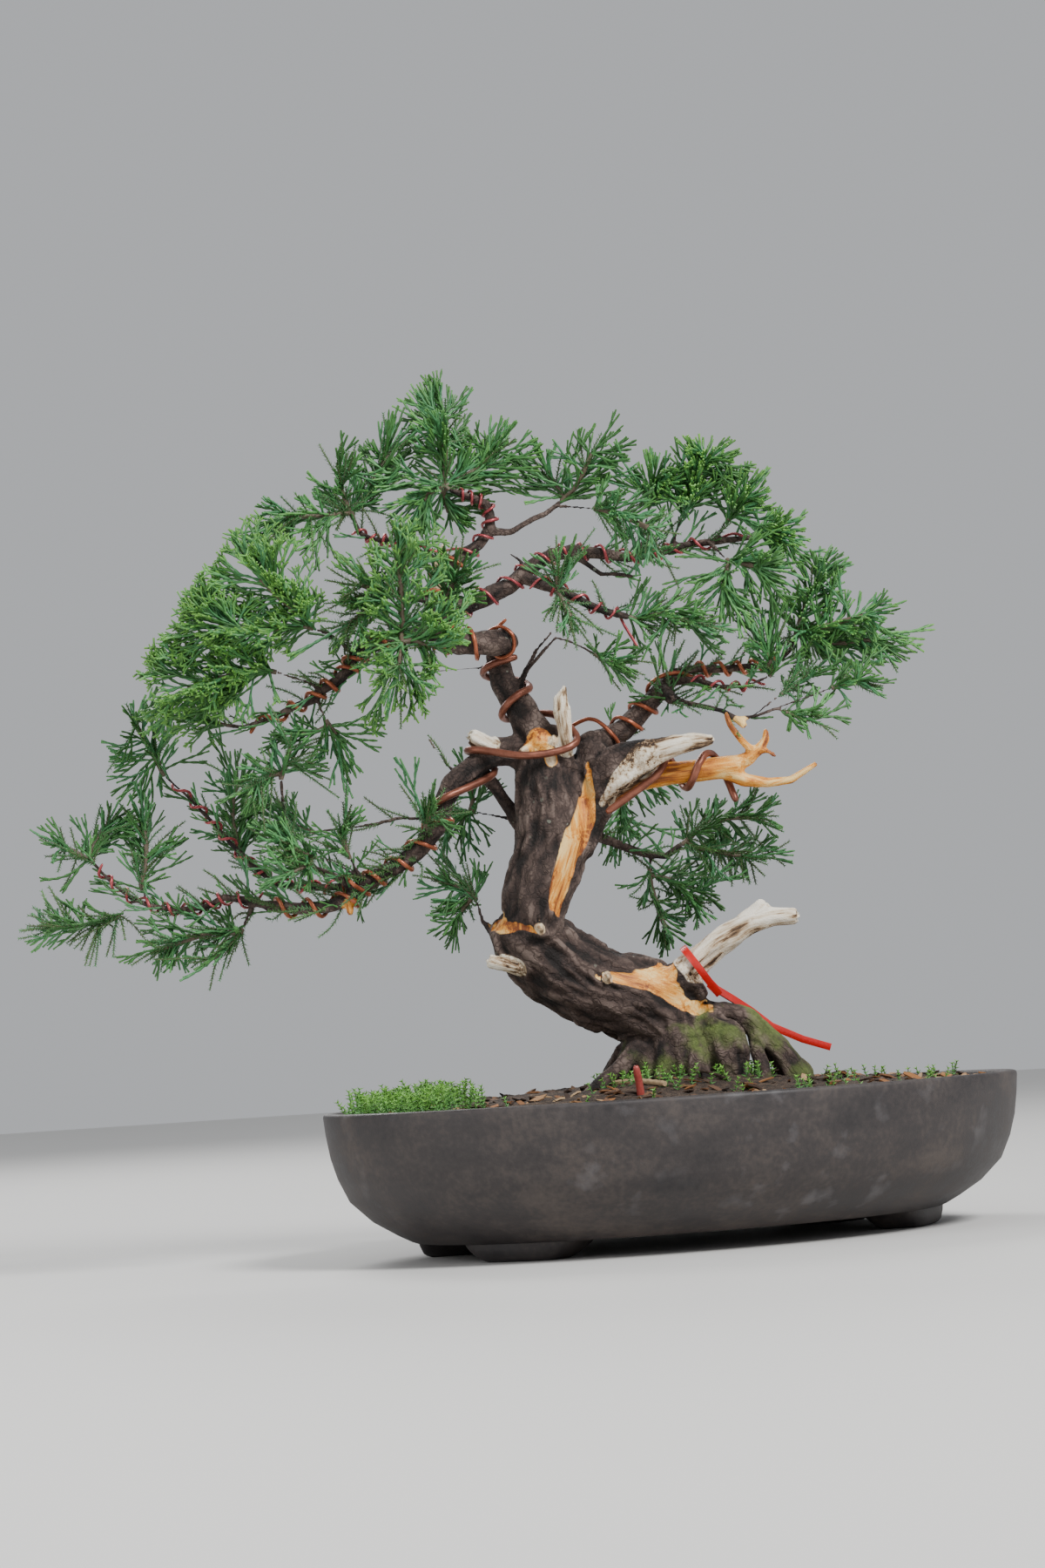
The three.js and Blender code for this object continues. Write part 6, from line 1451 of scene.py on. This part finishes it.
def cord_values(radius, tone, woody, lime, count):
    """A cord thins a little towards a blunt end. Its last part is young, and nearly all of a 3-point tip."""
    share = np.linspace(0, 1, count)
    body = radius * (1 - 0.14 * share)
    body[-1] = radius * 0.72
    grown = 0.1 if count == 3 else 0.7
    young = np.clip((share - grown) / (1 - grown), 0, 1) * min(lime, 1)
    return {"radius": body, "tone": tone, "woody": woody, "young": young}


def needle_values(tone, lime, count):
    share = np.linspace(0, 1, count)
    length = NEEDLE_LENGTH * MM * (1 - 0.45 * share)
    return {"radius": length, "tone": tone, "woody": 0.0, "young": 0.25 * share * lime}


def grown_part(name, paths, tree, **values):
    return run_tree(path_mesh(name, paths), tree, material=leaf_material, **values)


def spray_piece(name, grower):
    """One piece of foliage: cords, and the woody stems and needle shoots where it has them"""
    cords = [(line, cord_values(*looks, len(line))) for line, *looks in grower.cords]
    stems = [(ends, STEM_VALUES) for ends in grower.stems]
    shoots = [(line, needle_values(tone, grower.lime, len(line))) for line, tone in grower.needles]
    parts = [grown_part(name + "_cords", cords, cords_tree)]
    if stems:
        parts.append(grown_part(name + "_stems", stems, cords_tree, sides=6, scale_relief=0.05))
    if shoots:
        parts.append(grown_part(name + "_needles", shoots, needles_tree))
    return joined(name, parts)


leaf_material = leaf_finish()
for name in spray_nodes:
    piece = spray_piece(name.replace("spray_", "foliage_"), growers[name])
    finish_piece(piece, "foliage", leaf_material, name)
finish_piece(spray_piece("foliage_sprigs", sprigs), "foliage", leaf_material)
print("foliage triangles:", tallied("foliage_"))


# %% [markdown]
# The copper wires. Each solid is an angular tube, so a subdivision surface rounds it. That surface draws
# a tube of few sides inwards, and the corners are pushed out first to make up for it.

# %% The wires
WIRES = {
    "thick_wire": ["thick_trunk", "thick_jin"],
    "middle_wire": ["right_branch", "leader_bend", "knot", "left_branch", "middle_left"],
    "thin_wire": ["top_right", "third_right", "apex", "left_end", "left_high", "right_middle"],
}
WIRE_SHAPES = {"thick_wire": (5, 2.1), "middle_wire": (4, 1.15), "thin_wire": (3, 0.8)}
WIRE_COLOURS = {
    "thick_wire": ((0.13, 0.042, 0.026), (0.32, 0.115, 0.070)),
    "middle_wire": ((0.24, 0.055, 0.026), (0.52, 0.165, 0.080)),
    "thin_wire": ((0.27, 0.035, 0.045), (0.52, 0.11, 0.12)),
}


def wire_finish(name):
    dark, light = WIRE_COLOURS[name]
    finish = Finish(name, Metallic=0.55, Roughness=0.38)
    cloud = finish.mottled(120, 1500, 0.25)
    finish.colour(finish.mix(cloud, dark, light))
    finish.rough(finish.span(cloud, 0.0, 1.0, 0.5, 0.3))
    finish.bump(finish.noise(900, 2), 0.1 * MM, 0.3)
    return finish.material


def rounded(node, name, sides, radius, levels=2):
    sheet = welded_copy(node)
    sheet.normal_update()
    drawn_in = (4 + 2 * math.cos(2 * math.pi / sides)) / 6
    push = radius * MM * (1 / drawn_in - 1)
    moves = [corner.normal * push for corner in sheet.verts]
    for corner, move in zip(sheet.verts, moves):
        corner.co += move
    piece = piece_from(sheet, name)
    surface = piece.modifiers.new("round", "SUBSURF")
    surface.levels = surface.render_levels = levels
    settle(piece)
    smooth_shaded(piece.data)
    return piece


for slot, names in WIRES.items():
    material = wire_finish(slot)
    sides, radius = WIRE_SHAPES[slot]
    for name in names:
        piece = rounded("wire_" + name, "copper_" + name, sides, radius, 2 if sides > 3 else 1)
        finish_piece(piece, slot, material, "wire_" + name)
print("wire triangles:", tallied("copper_"))


# %% [markdown]
# The pot is pressed and scraped clay, burnished on the outside. Its wall is an oval loft: the outside
# from the base up, over a rounded lip, and down the inside to the floor. Two round holes drain it. Four
# feet follow the edge of the base. The loft is given the solid's own profile, and the lip's few points
# are rounded here.

# %% The pot
POT_LENGTH = 416.0
POT_WIDTH = 312.0
POT_HEIGHT = 85.0
POT_TURN = math.radians(23)
POT_MIDDLE = 8.0 + TREE_SHIFT
POT_SIDES = 112
BASE_INSET = 48.0
HOLE_OFFSET = 78.0
HOLE_RADIUS = 11.0
HOLE_SIDES = 40

# The wall's profile, as the depth under the rim and the inset from the widest oval
OUTSIDE = [
    (75, 48.2), (74.2, 46), (70, 38), (62, 25), (50, 12.5), (37, 6.5), (25, 3), (12, 1), (2.4, 0.1),
    (1.1, 0.3), (0.35, 1.0), (0, 2.2),
]
INSIDE = [
    (0, 5.6), (0.35, 6.9), (1.4, 7.9), (12, 9.2), (25, 11), (38, 16), (50, 23), (60, 36), (65.4, 45),
    (66, 48),
]


def oval(inset, depth):
    angles = np.linspace(0, 2 * math.pi, POT_SIDES, endpoint=False)
    across = (POT_LENGTH / 2 - inset) * np.cos(angles)
    behind = (POT_WIDTH / 2 - inset) * np.sin(angles)
    return np.stack([across, behind, np.full(POT_SIDES, POT_HEIGHT - depth)], axis=1)


def loft(sheet, rings):
    """Skins rings that are given in millimetres"""
    skin_rings(sheet, [[Vector(point) * MM for point in ring] for ring in rings])


pot_sheet = bmesh.new()
loft(pot_sheet, [oval(inset, depth) for depth, inset in OUTSIDE + INSIDE])
bowl = piece_from(pot_sheet, "bowl")
for side in (-1, 1):
    drill_sheet = bmesh.new()
    hole = Matrix.Translation((side * HOLE_OFFSET * MM, 0, 14 * MM))
    bmesh.ops.create_cone(drill_sheet, cap_ends=True, segments=HOLE_SIDES, radius1=HOLE_RADIUS * MM,
                          radius2=HOLE_RADIUS * MM, depth=30 * MM, matrix=hole)
    drill = piece_from(drill_sheet, "drill")
    cut = bowl.modifiers.new("drain hole", "BOOLEAN")
    cut.object = drill
    settle(bowl)
    bpy.data.objects.remove(drill)
print("bowl:", len(bowl.data.vertices), "points")

# %% [markdown]
# The feet follow the edge of the base, two at the front and two at the back. Each is a loft of a few
# outlines with rounded corners, flared where it meets the base.

# %% The pot's feet
FOOT_MIDDLE = math.radians(33)
FOOT_HALF_SPAN = math.radians(17.4)
FOOT_POINTS = 32
FOOT_SQUARENESS = 0.35

# Height of an outline, share of the foot's span, and where its outer and inner edges lie, as shares of
# the base
FOOT_LEVELS = [
    (0, 0.56, 0.965, 0.805), (0.9, 0.60, 0.98, 0.79), (2.5, 0.68, 0.99, 0.78), (7, 0.84, 0.997, 0.76),
    (13, 1, 1, 0.74),
]


def squared(value):
    """A sine drawn out towards a square wave, which makes a round outline a rounded box"""
    return math.copysign(abs(value) ** FOOT_SQUARENESS, value)


def foot_ring(middle, height, span_share, outer, inner):
    length, width = POT_LENGTH / 2 - BASE_INSET, POT_WIDTH / 2 - BASE_INSET
    ring = []
    for way in np.linspace(-math.pi, math.pi, FOOT_POINTS, endpoint=False):
        angle = middle + FOOT_HALF_SPAN * span_share * squared(math.sin(way))
        reach = (outer + inner) / 2 + (outer - inner) / 2 * squared(math.cos(way))
        ring.append((length * reach * math.cos(angle), width * reach * math.sin(angle), height))
    return ring


feet_sheet = bmesh.new()
for middle in (FOOT_MIDDLE, math.pi - FOOT_MIDDLE, math.pi + FOOT_MIDDLE, -FOOT_MIDDLE):
    loft(feet_sheet, [foot_ring(middle, *level) for level in FOOT_LEVELS])
pot = joined("clay_pot", [bowl, piece_from(feet_sheet, "feet")])
pot_place = Matrix.Translation((POT_MIDDLE * MM, 0, 0)) @ Matrix.Rotation(POT_TURN, 4, "Z")
pot.data.transform(pot_place)
smooth_shaded(pot.data)
pot.data.set_sharp_from_angle(angle=math.radians(38))
print("pot triangles:", triangles_of(pot.data))

# %% [markdown]
# The clay is nearly black, with cloudy browns, faint bands from scraping, and patches of chalky bloom
# where water has dried.

# %% The clay
BAND_STRETCH = (14, 14, 90)


def clay_finish():
    finish = Finish("dark_clay", Roughness=0.62)
    cloud = finish.mottled(22, 320, 0.3)
    banded = finish.add("ShaderNodeMapping", {"Vector": finish.place, "Scale": BAND_STRETCH})
    bands = finish.noise(1, 4, banded.outputs["Vector"])
    tone = finish.plus(finish.math("MULTIPLY", cloud, 0.7), bands, 0.35)
    clay = finish.ramp(tone, [
        (0.2, (0.018, 0.015, 0.016)), (0.5, (0.038, 0.031, 0.030)), (0.85, (0.080, 0.064, 0.056)),
    ])
    patches = finish.span(finish.noise(48, 6), 0.58, 0.72)
    bloom = finish.math("MULTIPLY", patches, finish.span(finish.noise(9), 0.5, 0.62))
    finish.colour(finish.mix(finish.math("MULTIPLY", bloom, 0.45), clay, (0.17, 0.16, 0.165)))
    finish.rough(finish.span(cloud, 0.0, 1.0, 0.48, 0.78))
    finish.bump(finish.plus(finish.noise(900, 3), finish.noise(60)), 0.25 * MM, 0.5)
    return finish.material


finish_piece(pot, "clay", clay_finish(), "pot")
print("clay:", pot.data.materials[0].name)

# %% [markdown]
# The soil is bark humus and grit, a little higher round the trunk. The solid's top is split until no edge
# is longer than a grain or two. Then it is raised by a grainy noise, so its grains are real shapes.

# %% The soil
GRAIN_EDGE = 3.5 * MM
SPLIT_PASSES = 7
SOIL_HEAP = 8.0
HEAP_REACH = (0.055, 0.045)
CRUMB_SIZE = 4.5 * MM
HOLLOW_SIZE = 14 * MM
SOIL_LEVEL = 70 * MM
heap_middle = seen(12, 84, -4)


def looks_up(face):
    return face.normal.z > 0.6


def is_long(edge):
    on_top = all(corner.co.z > SOIL_LEVEL for corner in edge.verts)
    return on_top and edge.calc_length() > GRAIN_EDGE and any(looks_up(face) for face in edge.link_faces)


def split_top(sheet):
    """Splits the top's long edges, pass after pass, and turns edges so that no triangle stays a sliver"""
    for _ in range(SPLIT_PASSES):
        long_edges = [edge for edge in sheet.edges if is_long(edge)]
        if not long_edges:
            return
        bmesh.ops.subdivide_edges(sheet, edges=long_edges, cuts=1)
        bmesh.ops.triangulate(sheet, faces=sheet.faces)
        top = [face for face in sheet.faces if looks_up(face)]
        edges = {edge for face in top for edge in face.edges if all(map(looks_up, edge.link_faces))}
        sheet.edges.index_update()
        bmesh.ops.beautify_fill(sheet, faces=top, edges=sorted(edges, key=lambda edge: edge.index))
        sheet.normal_update()


def ground_lift(place):
    """How far a place on the soil is raised: by the heap round the trunk, and by crumbs and hollows"""
    off = place - heap_middle
    away = (off.x / HEAP_REACH[0]) ** 2 + (off.y / HEAP_REACH[1]) ** 2
    distances, _ = noise.voronoi(place / CRUMB_SIZE)
    crumbs = 0.9 - 1.6 * min(distances[0], 1) + 1.3 * noise.noise(place / HOLLOW_SIZE)
    return (SOIL_HEAP * math.exp(-away) + crumbs) * MM


def soil_finish():
    finish = Finish("dark_humus", Roughness=0.95)
    grit = finish.mottled(150, 1200, 0.5)
    ground = finish.ramp(grit, [
        (0.2, (0.012, 0.008, 0.006)), (0.55, (0.045, 0.028, 0.018)), (0.9, (0.13, 0.085, 0.055)),
    ])
    finish.colour(finish.mix(finish.flecked(260, -0.08), ground, (0.28, 0.20, 0.13)))
    finish.bump(grit, 0.5 * MM)
    return finish.material


soil_sheet = welded_copy("soil")
soil_sheet.normal_update()
split_top(soil_sheet)
for corner in soil_sheet.verts:
    if corner.co.z > SOIL_LEVEL and corner.normal.z > 0.5:
        corner.co.z += ground_lift(corner.co)
soil = piece_from(soil_sheet, "soil_surface")
smooth_shaded(soil.data)
soil_top = BVHTree.FromObject(soil, bpy.context.evaluated_depsgraph_get())
finish_piece(soil, "soil", soil_finish(), "soil")
print("soil triangles:", tallies["soil_surface"])

# %% [markdown]
# Chips of bark lie on the soil. One chip is modelled, and Geometry Nodes scatter it over the soil's top
# with a fixed seed, each turned, stretched and toned in its own way.

# %% Bark chips
CHIP_OUTLINE = [(-1, -0.32), (-0.3, -0.5), (0.5, -0.42), (1, -0.1), (0.8, 0.3), (0.1, 0.42), (-0.7, 0.36)]
CHIP_LAYERS = ((-0.1, 0.9), (0.12, 1.0))
CHIP_BEND = 0.22
SOIL_RIM = 76 * MM


def chip_mesh():
    """A flake of bark: a bent wedge with a broken end"""
    sheet = bmesh.new()
    skin_rings(sheet, [
        [(x * share, y * share, height + CHIP_BEND * (1 - x * x)) for x, y in CHIP_OUTLINE]
        for height, share in CHIP_LAYERS
    ])
    return piece_from(sheet, "chip")


def random_vector(tree, low, high, seed):
    values = {0: low, 1: high, "Seed": seed}
    return out(put(tree, "FunctionNodeRandomValue", values, data_type="FLOAT_VECTOR"))


def scatter_tree():
    tree, given = geometry_tree("scattered litter", {
        "Flake": "NodeSocketObject", "Density": 7500.0, "Smallest": 1.8 * MM, "Largest": 6.8 * MM, "Seed": 5,
        "Material": "NodeSocketMaterial",
    })
    seed = given["Seed"]
    ground = {"Mesh": given["Geometry"], "Density": given["Density"], "Seed": seed}
    spots = out(put(tree, "GeometryNodeDistributePointsOnFaces", ground))
    flake = out(put(tree, "GeometryNodeObjectInfo", {"Object": given["Flake"]}), "Geometry")
    turned = random_vector(tree, (-0.5, -0.5, 0.0), (0.5, 0.5, 2 * math.pi), seed)
    shape = random_vector(tree, (0.6, 0.4, 0.3), (1.5, 1.0, 0.8), 8)
    size = {0: shape, "Scale": between(tree, given["Smallest"], given["Largest"], seed)}
    scale = out(put(tree, "ShaderNodeVectorMath", size, operation="SCALE"))
    where = {"Points": spots, "Instance": flake, "Rotation": turned, "Scale": scale}
    placed = out(put(tree, "GeometryNodeInstanceOnPoints", where))
    toned = stored(tree, placed, "tone", between(tree, 0.0, 1.0, 4), domain="INSTANCE")
    return end_tree(tree, toned, given["Material"])


def litter_finish():
    finish = Finish("bark_chips", Roughness=0.85)
    colour = finish.ramp(finish.attribute("tone"), [
        (0.0, (0.020, 0.012, 0.009)), (0.45, (0.065, 0.036, 0.022)), (0.7, (0.20, 0.095, 0.045)),
        (0.85, (0.36, 0.14, 0.035)), (1.0, (0.52, 0.36, 0.20)),
    ])
    dirt = finish.math("MULTIPLY", finish.noise(700, 3), 0.5)
    finish.colour(finish.mix(dirt, colour, (0.03, 0.02, 0.015)))
    finish.bump(finish.noise(900), 0.2 * MM)
    return finish.material


def is_side(face):
    return face.normal.z < 0.35 or face.calc_center_median().z < SOIL_RIM


top_sheet = bmesh.new()
top_sheet.from_mesh(soil.data)
bmesh.ops.delete(top_sheet, geom=[face for face in top_sheet.faces if is_side(face)], context="FACES")
chips = piece_from(top_sheet, "chips")
chip = chip_mesh()
litter_material = litter_finish()
run_tree(chips, scatter_tree(), flake=chip, material=litter_material)
bpy.data.objects.remove(chip)
print("chip triangles:", triangles_of(chips.data))

# %% [markdown]
# Low green tufts grow thickly at the pot's left end, and here and there elsewhere. Each is a short
# upright path, so the tufts reuse the cord tree and the needle tree.

# %% Moss
MOSS_TRIES = 8000
MOSS_RIGHT_END = 560
MOSS_INSET = 9
TRUNK_FOOT = seen(8, 92, -10)
TUFT_POINTS = 4
DOWN = Vector((0, 0, -1))
moss_random = np.random.default_rng(41)


def picture_across(point):
    """How far from the picture's left a point shows"""
    off = turn.transposed() @ (Vector(point) - eye)
    return PICTURE_WIDTH / 2 - focal * off.x / off.z


def moss_chance(root, shown):
    """How likely a tuft is: thick in clumps at the pot's left end, sparse elsewhere, some round the roots"""
    clump = np.clip((MOSS_RIGHT_END - shown) / 60, 0, 1) * (0.26 + 0.5 * noise.noise(root / 0.028))
    stray = 0.05 if noise.noise(root / 0.018) > 0.4 else 0.004
    at_roots = 0.16 if (root - TRUNK_FOOT).length < 0.055 else 0
    return max(clump, stray, at_roots)


def spot_on_soil():
    """A random place on the soil inside the pot, or nothing where the ray hits the rim's side of it"""
    angle, reach = moss_random.uniform(0, 2 * math.pi), math.sqrt(moss_random.uniform()) * 0.985
    across = (POT_LENGTH / 2 - MOSS_INSET) * reach * math.cos(angle)
    behind = (POT_WIDTH / 2 - MOSS_INSET) * reach * math.sin(angle)
    flat = pot_place @ (Vector((across, behind, 0)) * MM)
    root = soil_top.ray_cast(Vector((flat.x, flat.y, 0.3)), DOWN)[0]
    return None if root is None or root.z < SOIL_RIM else root


def tuft(root, shown):
    """One tuft, as the path and values of its stem and of its leaves"""
    grown = 1 if shown < MOSS_RIGHT_END else 0.5
    tall = (8 + 11 * abs(noise.noise(root / 0.014)) + moss_random.uniform(0, 4)) * MM * grown
    lean = Vector(moss_random.normal(0, 0.3, 3))
    lean.z = 1.0
    tone = moss_random.uniform()
    line = eased([root, root + lean.normalized() * tall], TUFT_POINTS)
    share = np.linspace(0, 1, TUFT_POINTS)
    leaf = 3.9 * MM * (1 - 0.25 * share) * (0.6 + 0.4 * grown)
    stem = {"radius": 0.45 * MM, "tone": tone, "woody": 0.2, "young": 0.4 * share}
    return (line, stem), (line, {"radius": leaf, "tone": tone, "woody": 0.0, "young": 0.2 + 0.5 * share})


tufts = []
for _ in range(MOSS_TRIES):
    root = spot_on_soil()
    if root is None:
        continue
    shown = picture_across(root)
    if moss_random.uniform() <= moss_chance(root, shown):
        tufts.append(tuft(root, shown))
moss_stems = grown_part("moss_stems", [stem for stem, _ in tufts], cords_tree, sides=3, ring_spacing=4 * MM)
moss_needles = {"whorl_spacing": 2.0 * MM, "needle_thickness": 0.55 * MM, "lean": math.radians(62)}
moss_leaves = grown_part("moss_leaves", [leaves for _, leaves in tufts], needles_tree, **moss_needles)
moss = joined("moss_tufts", [moss_stems, moss_leaves])
finish_piece(moss, "foliage", leaf_material)
print("moss triangles:", tallies["moss_tufts"], "tufts:", len(tufts))

# %% [markdown]
# Bare twigs lie on the soil: a pale one in front of the trunk, dark ones at the right. Each is given by
# the picture points of its ends, and lies where the ray through such a point meets the soil.

# %% Twigs on the soil
TWIGS = [
    ((705, 1246), (764, 1249), 1.9, 1.0), ((640, 1240), (672, 1248), 1.2, 0.75),
    ((985, 1216), (1003, 1236), 0.9, 0.1), ((1018, 1228), (1062, 1222), 0.9, 0.2),
    ((560, 1236), (600, 1246), 1.1, 0.85), ((790, 1232), (828, 1240), 1.0, 0.3),
    ((880, 1228), (925, 1240), 1.1, 0.9), ((1050, 1216), (1092, 1230), 0.8, 0.25),
]
MOST_RISE = 40
RISE_STEP = 0.25


def on_soil(shown, lift):
    """The place on the soil that shows at a picture point, or a little above it where the rim hides it"""
    off_x = (shown[0] - PICTURE_WIDTH / 2) / focal
    for rise in np.arange(0, MOST_RISE, RISE_STEP):
        off_y = (PICTURE_HEIGHT / 2 - shown[1] + rise) / focal
        way = (turn @ Vector((off_x, off_y, -1))).normalized()
        hit = soil_top.ray_cast(eye, way)[0]
        if hit is not None and hit.z > 78 * MM:
            return hit + Vector((0, 0, lift))
    return None


twig_paths = []
for first, last, radius, tone in TWIGS:
    ends = [on_soil(first, 1.2 * MM), on_soil(last, 2.4 * MM)]
    if None in ends:
        continue
    middle = (ends[0] + ends[1]) / 2 + Vector((0, 0, 1.6 * MM))
    twig_paths.append((eased([ends[0], middle, ends[1]], 7), {"radius": radius * MM, "tone": tone}))
twigs = path_mesh("twigs", twig_paths)
run_tree(twigs, cords_tree, sides=7, scale_relief=0.1, material=litter_material)
litter = joined("soil_litter", [chips, twigs])
finish_piece(litter, "soil", litter_material)
print("litter triangles:", tallies["soil_litter"], "twigs:", len(twig_paths))

# %% [markdown]
# The cable tie is red nylon with softened edges, and its head grips the tail. The tie-down wire's end
# shows beside the trunk. Two plastic screens hold the soil back over the drain holes.

# %% Tie, tie-down wire and screens
EDGE_ROUND = 0.35 * MM


def plain_finish(name, dark, light, **constants):
    finish = Finish(name, **constants)
    finish.colour(finish.mix(finish.mottled(90, 900), dark, light))
    finish.bump(finish.noise(1200), 0.05 * MM, 0.4)
    return finish.material


tie = piece_from(welded_copy("cable_tie"), "red_cable_tie")
edge_round = tie.modifiers.new("rounded edges", "BEVEL")
edge_round.width = EDGE_ROUND
edge_round.segments = 2
edge_round.limit_method = "ANGLE"
settle(tie)
smooth_shaded(tie.data)
tie.data.set_sharp_from_angle(angle=math.radians(35))
nylon = plain_finish("red_nylon", (0.50, 0.008, 0.008), (0.66, 0.020, 0.015), Roughness=0.32)
finish_piece(tie, "tie", nylon, "cable_tie")

anchor = rounded("anchor_wire", "tie_down_wire", 6, 2.0)
lacquer_tones = (0.26, 0.035, 0.030), (0.50, 0.10, 0.08)
lacquer = plain_finish("red_lacquered_wire", *lacquer_tones, Roughness=0.4, Metallic=0.3)
finish_piece(anchor, "anchor", lacquer, "anchor_wire")

for side in ("left", "right"):
    plate = piece_from(welded_copy("drainage_screen_" + side), "screen_" + side)
    plastic_tones = (0.012, 0.014, 0.015), (0.03, 0.035, 0.035)
    plastic = plain_finish("screen_plastic_" + side, *plastic_tones, Roughness=0.5)
    finish_piece(plate, "screen", plastic, "drainage_screen_" + side)
print("small pieces:", tallies["red_cable_tie"], tallies["tie_down_wire"], tallied("screen_"), "triangles")

# %% [markdown]
# The last cell prints how many triangles the pieces added.

# %% Count the added triangles
print("added triangles:", sum(tallies.values()))
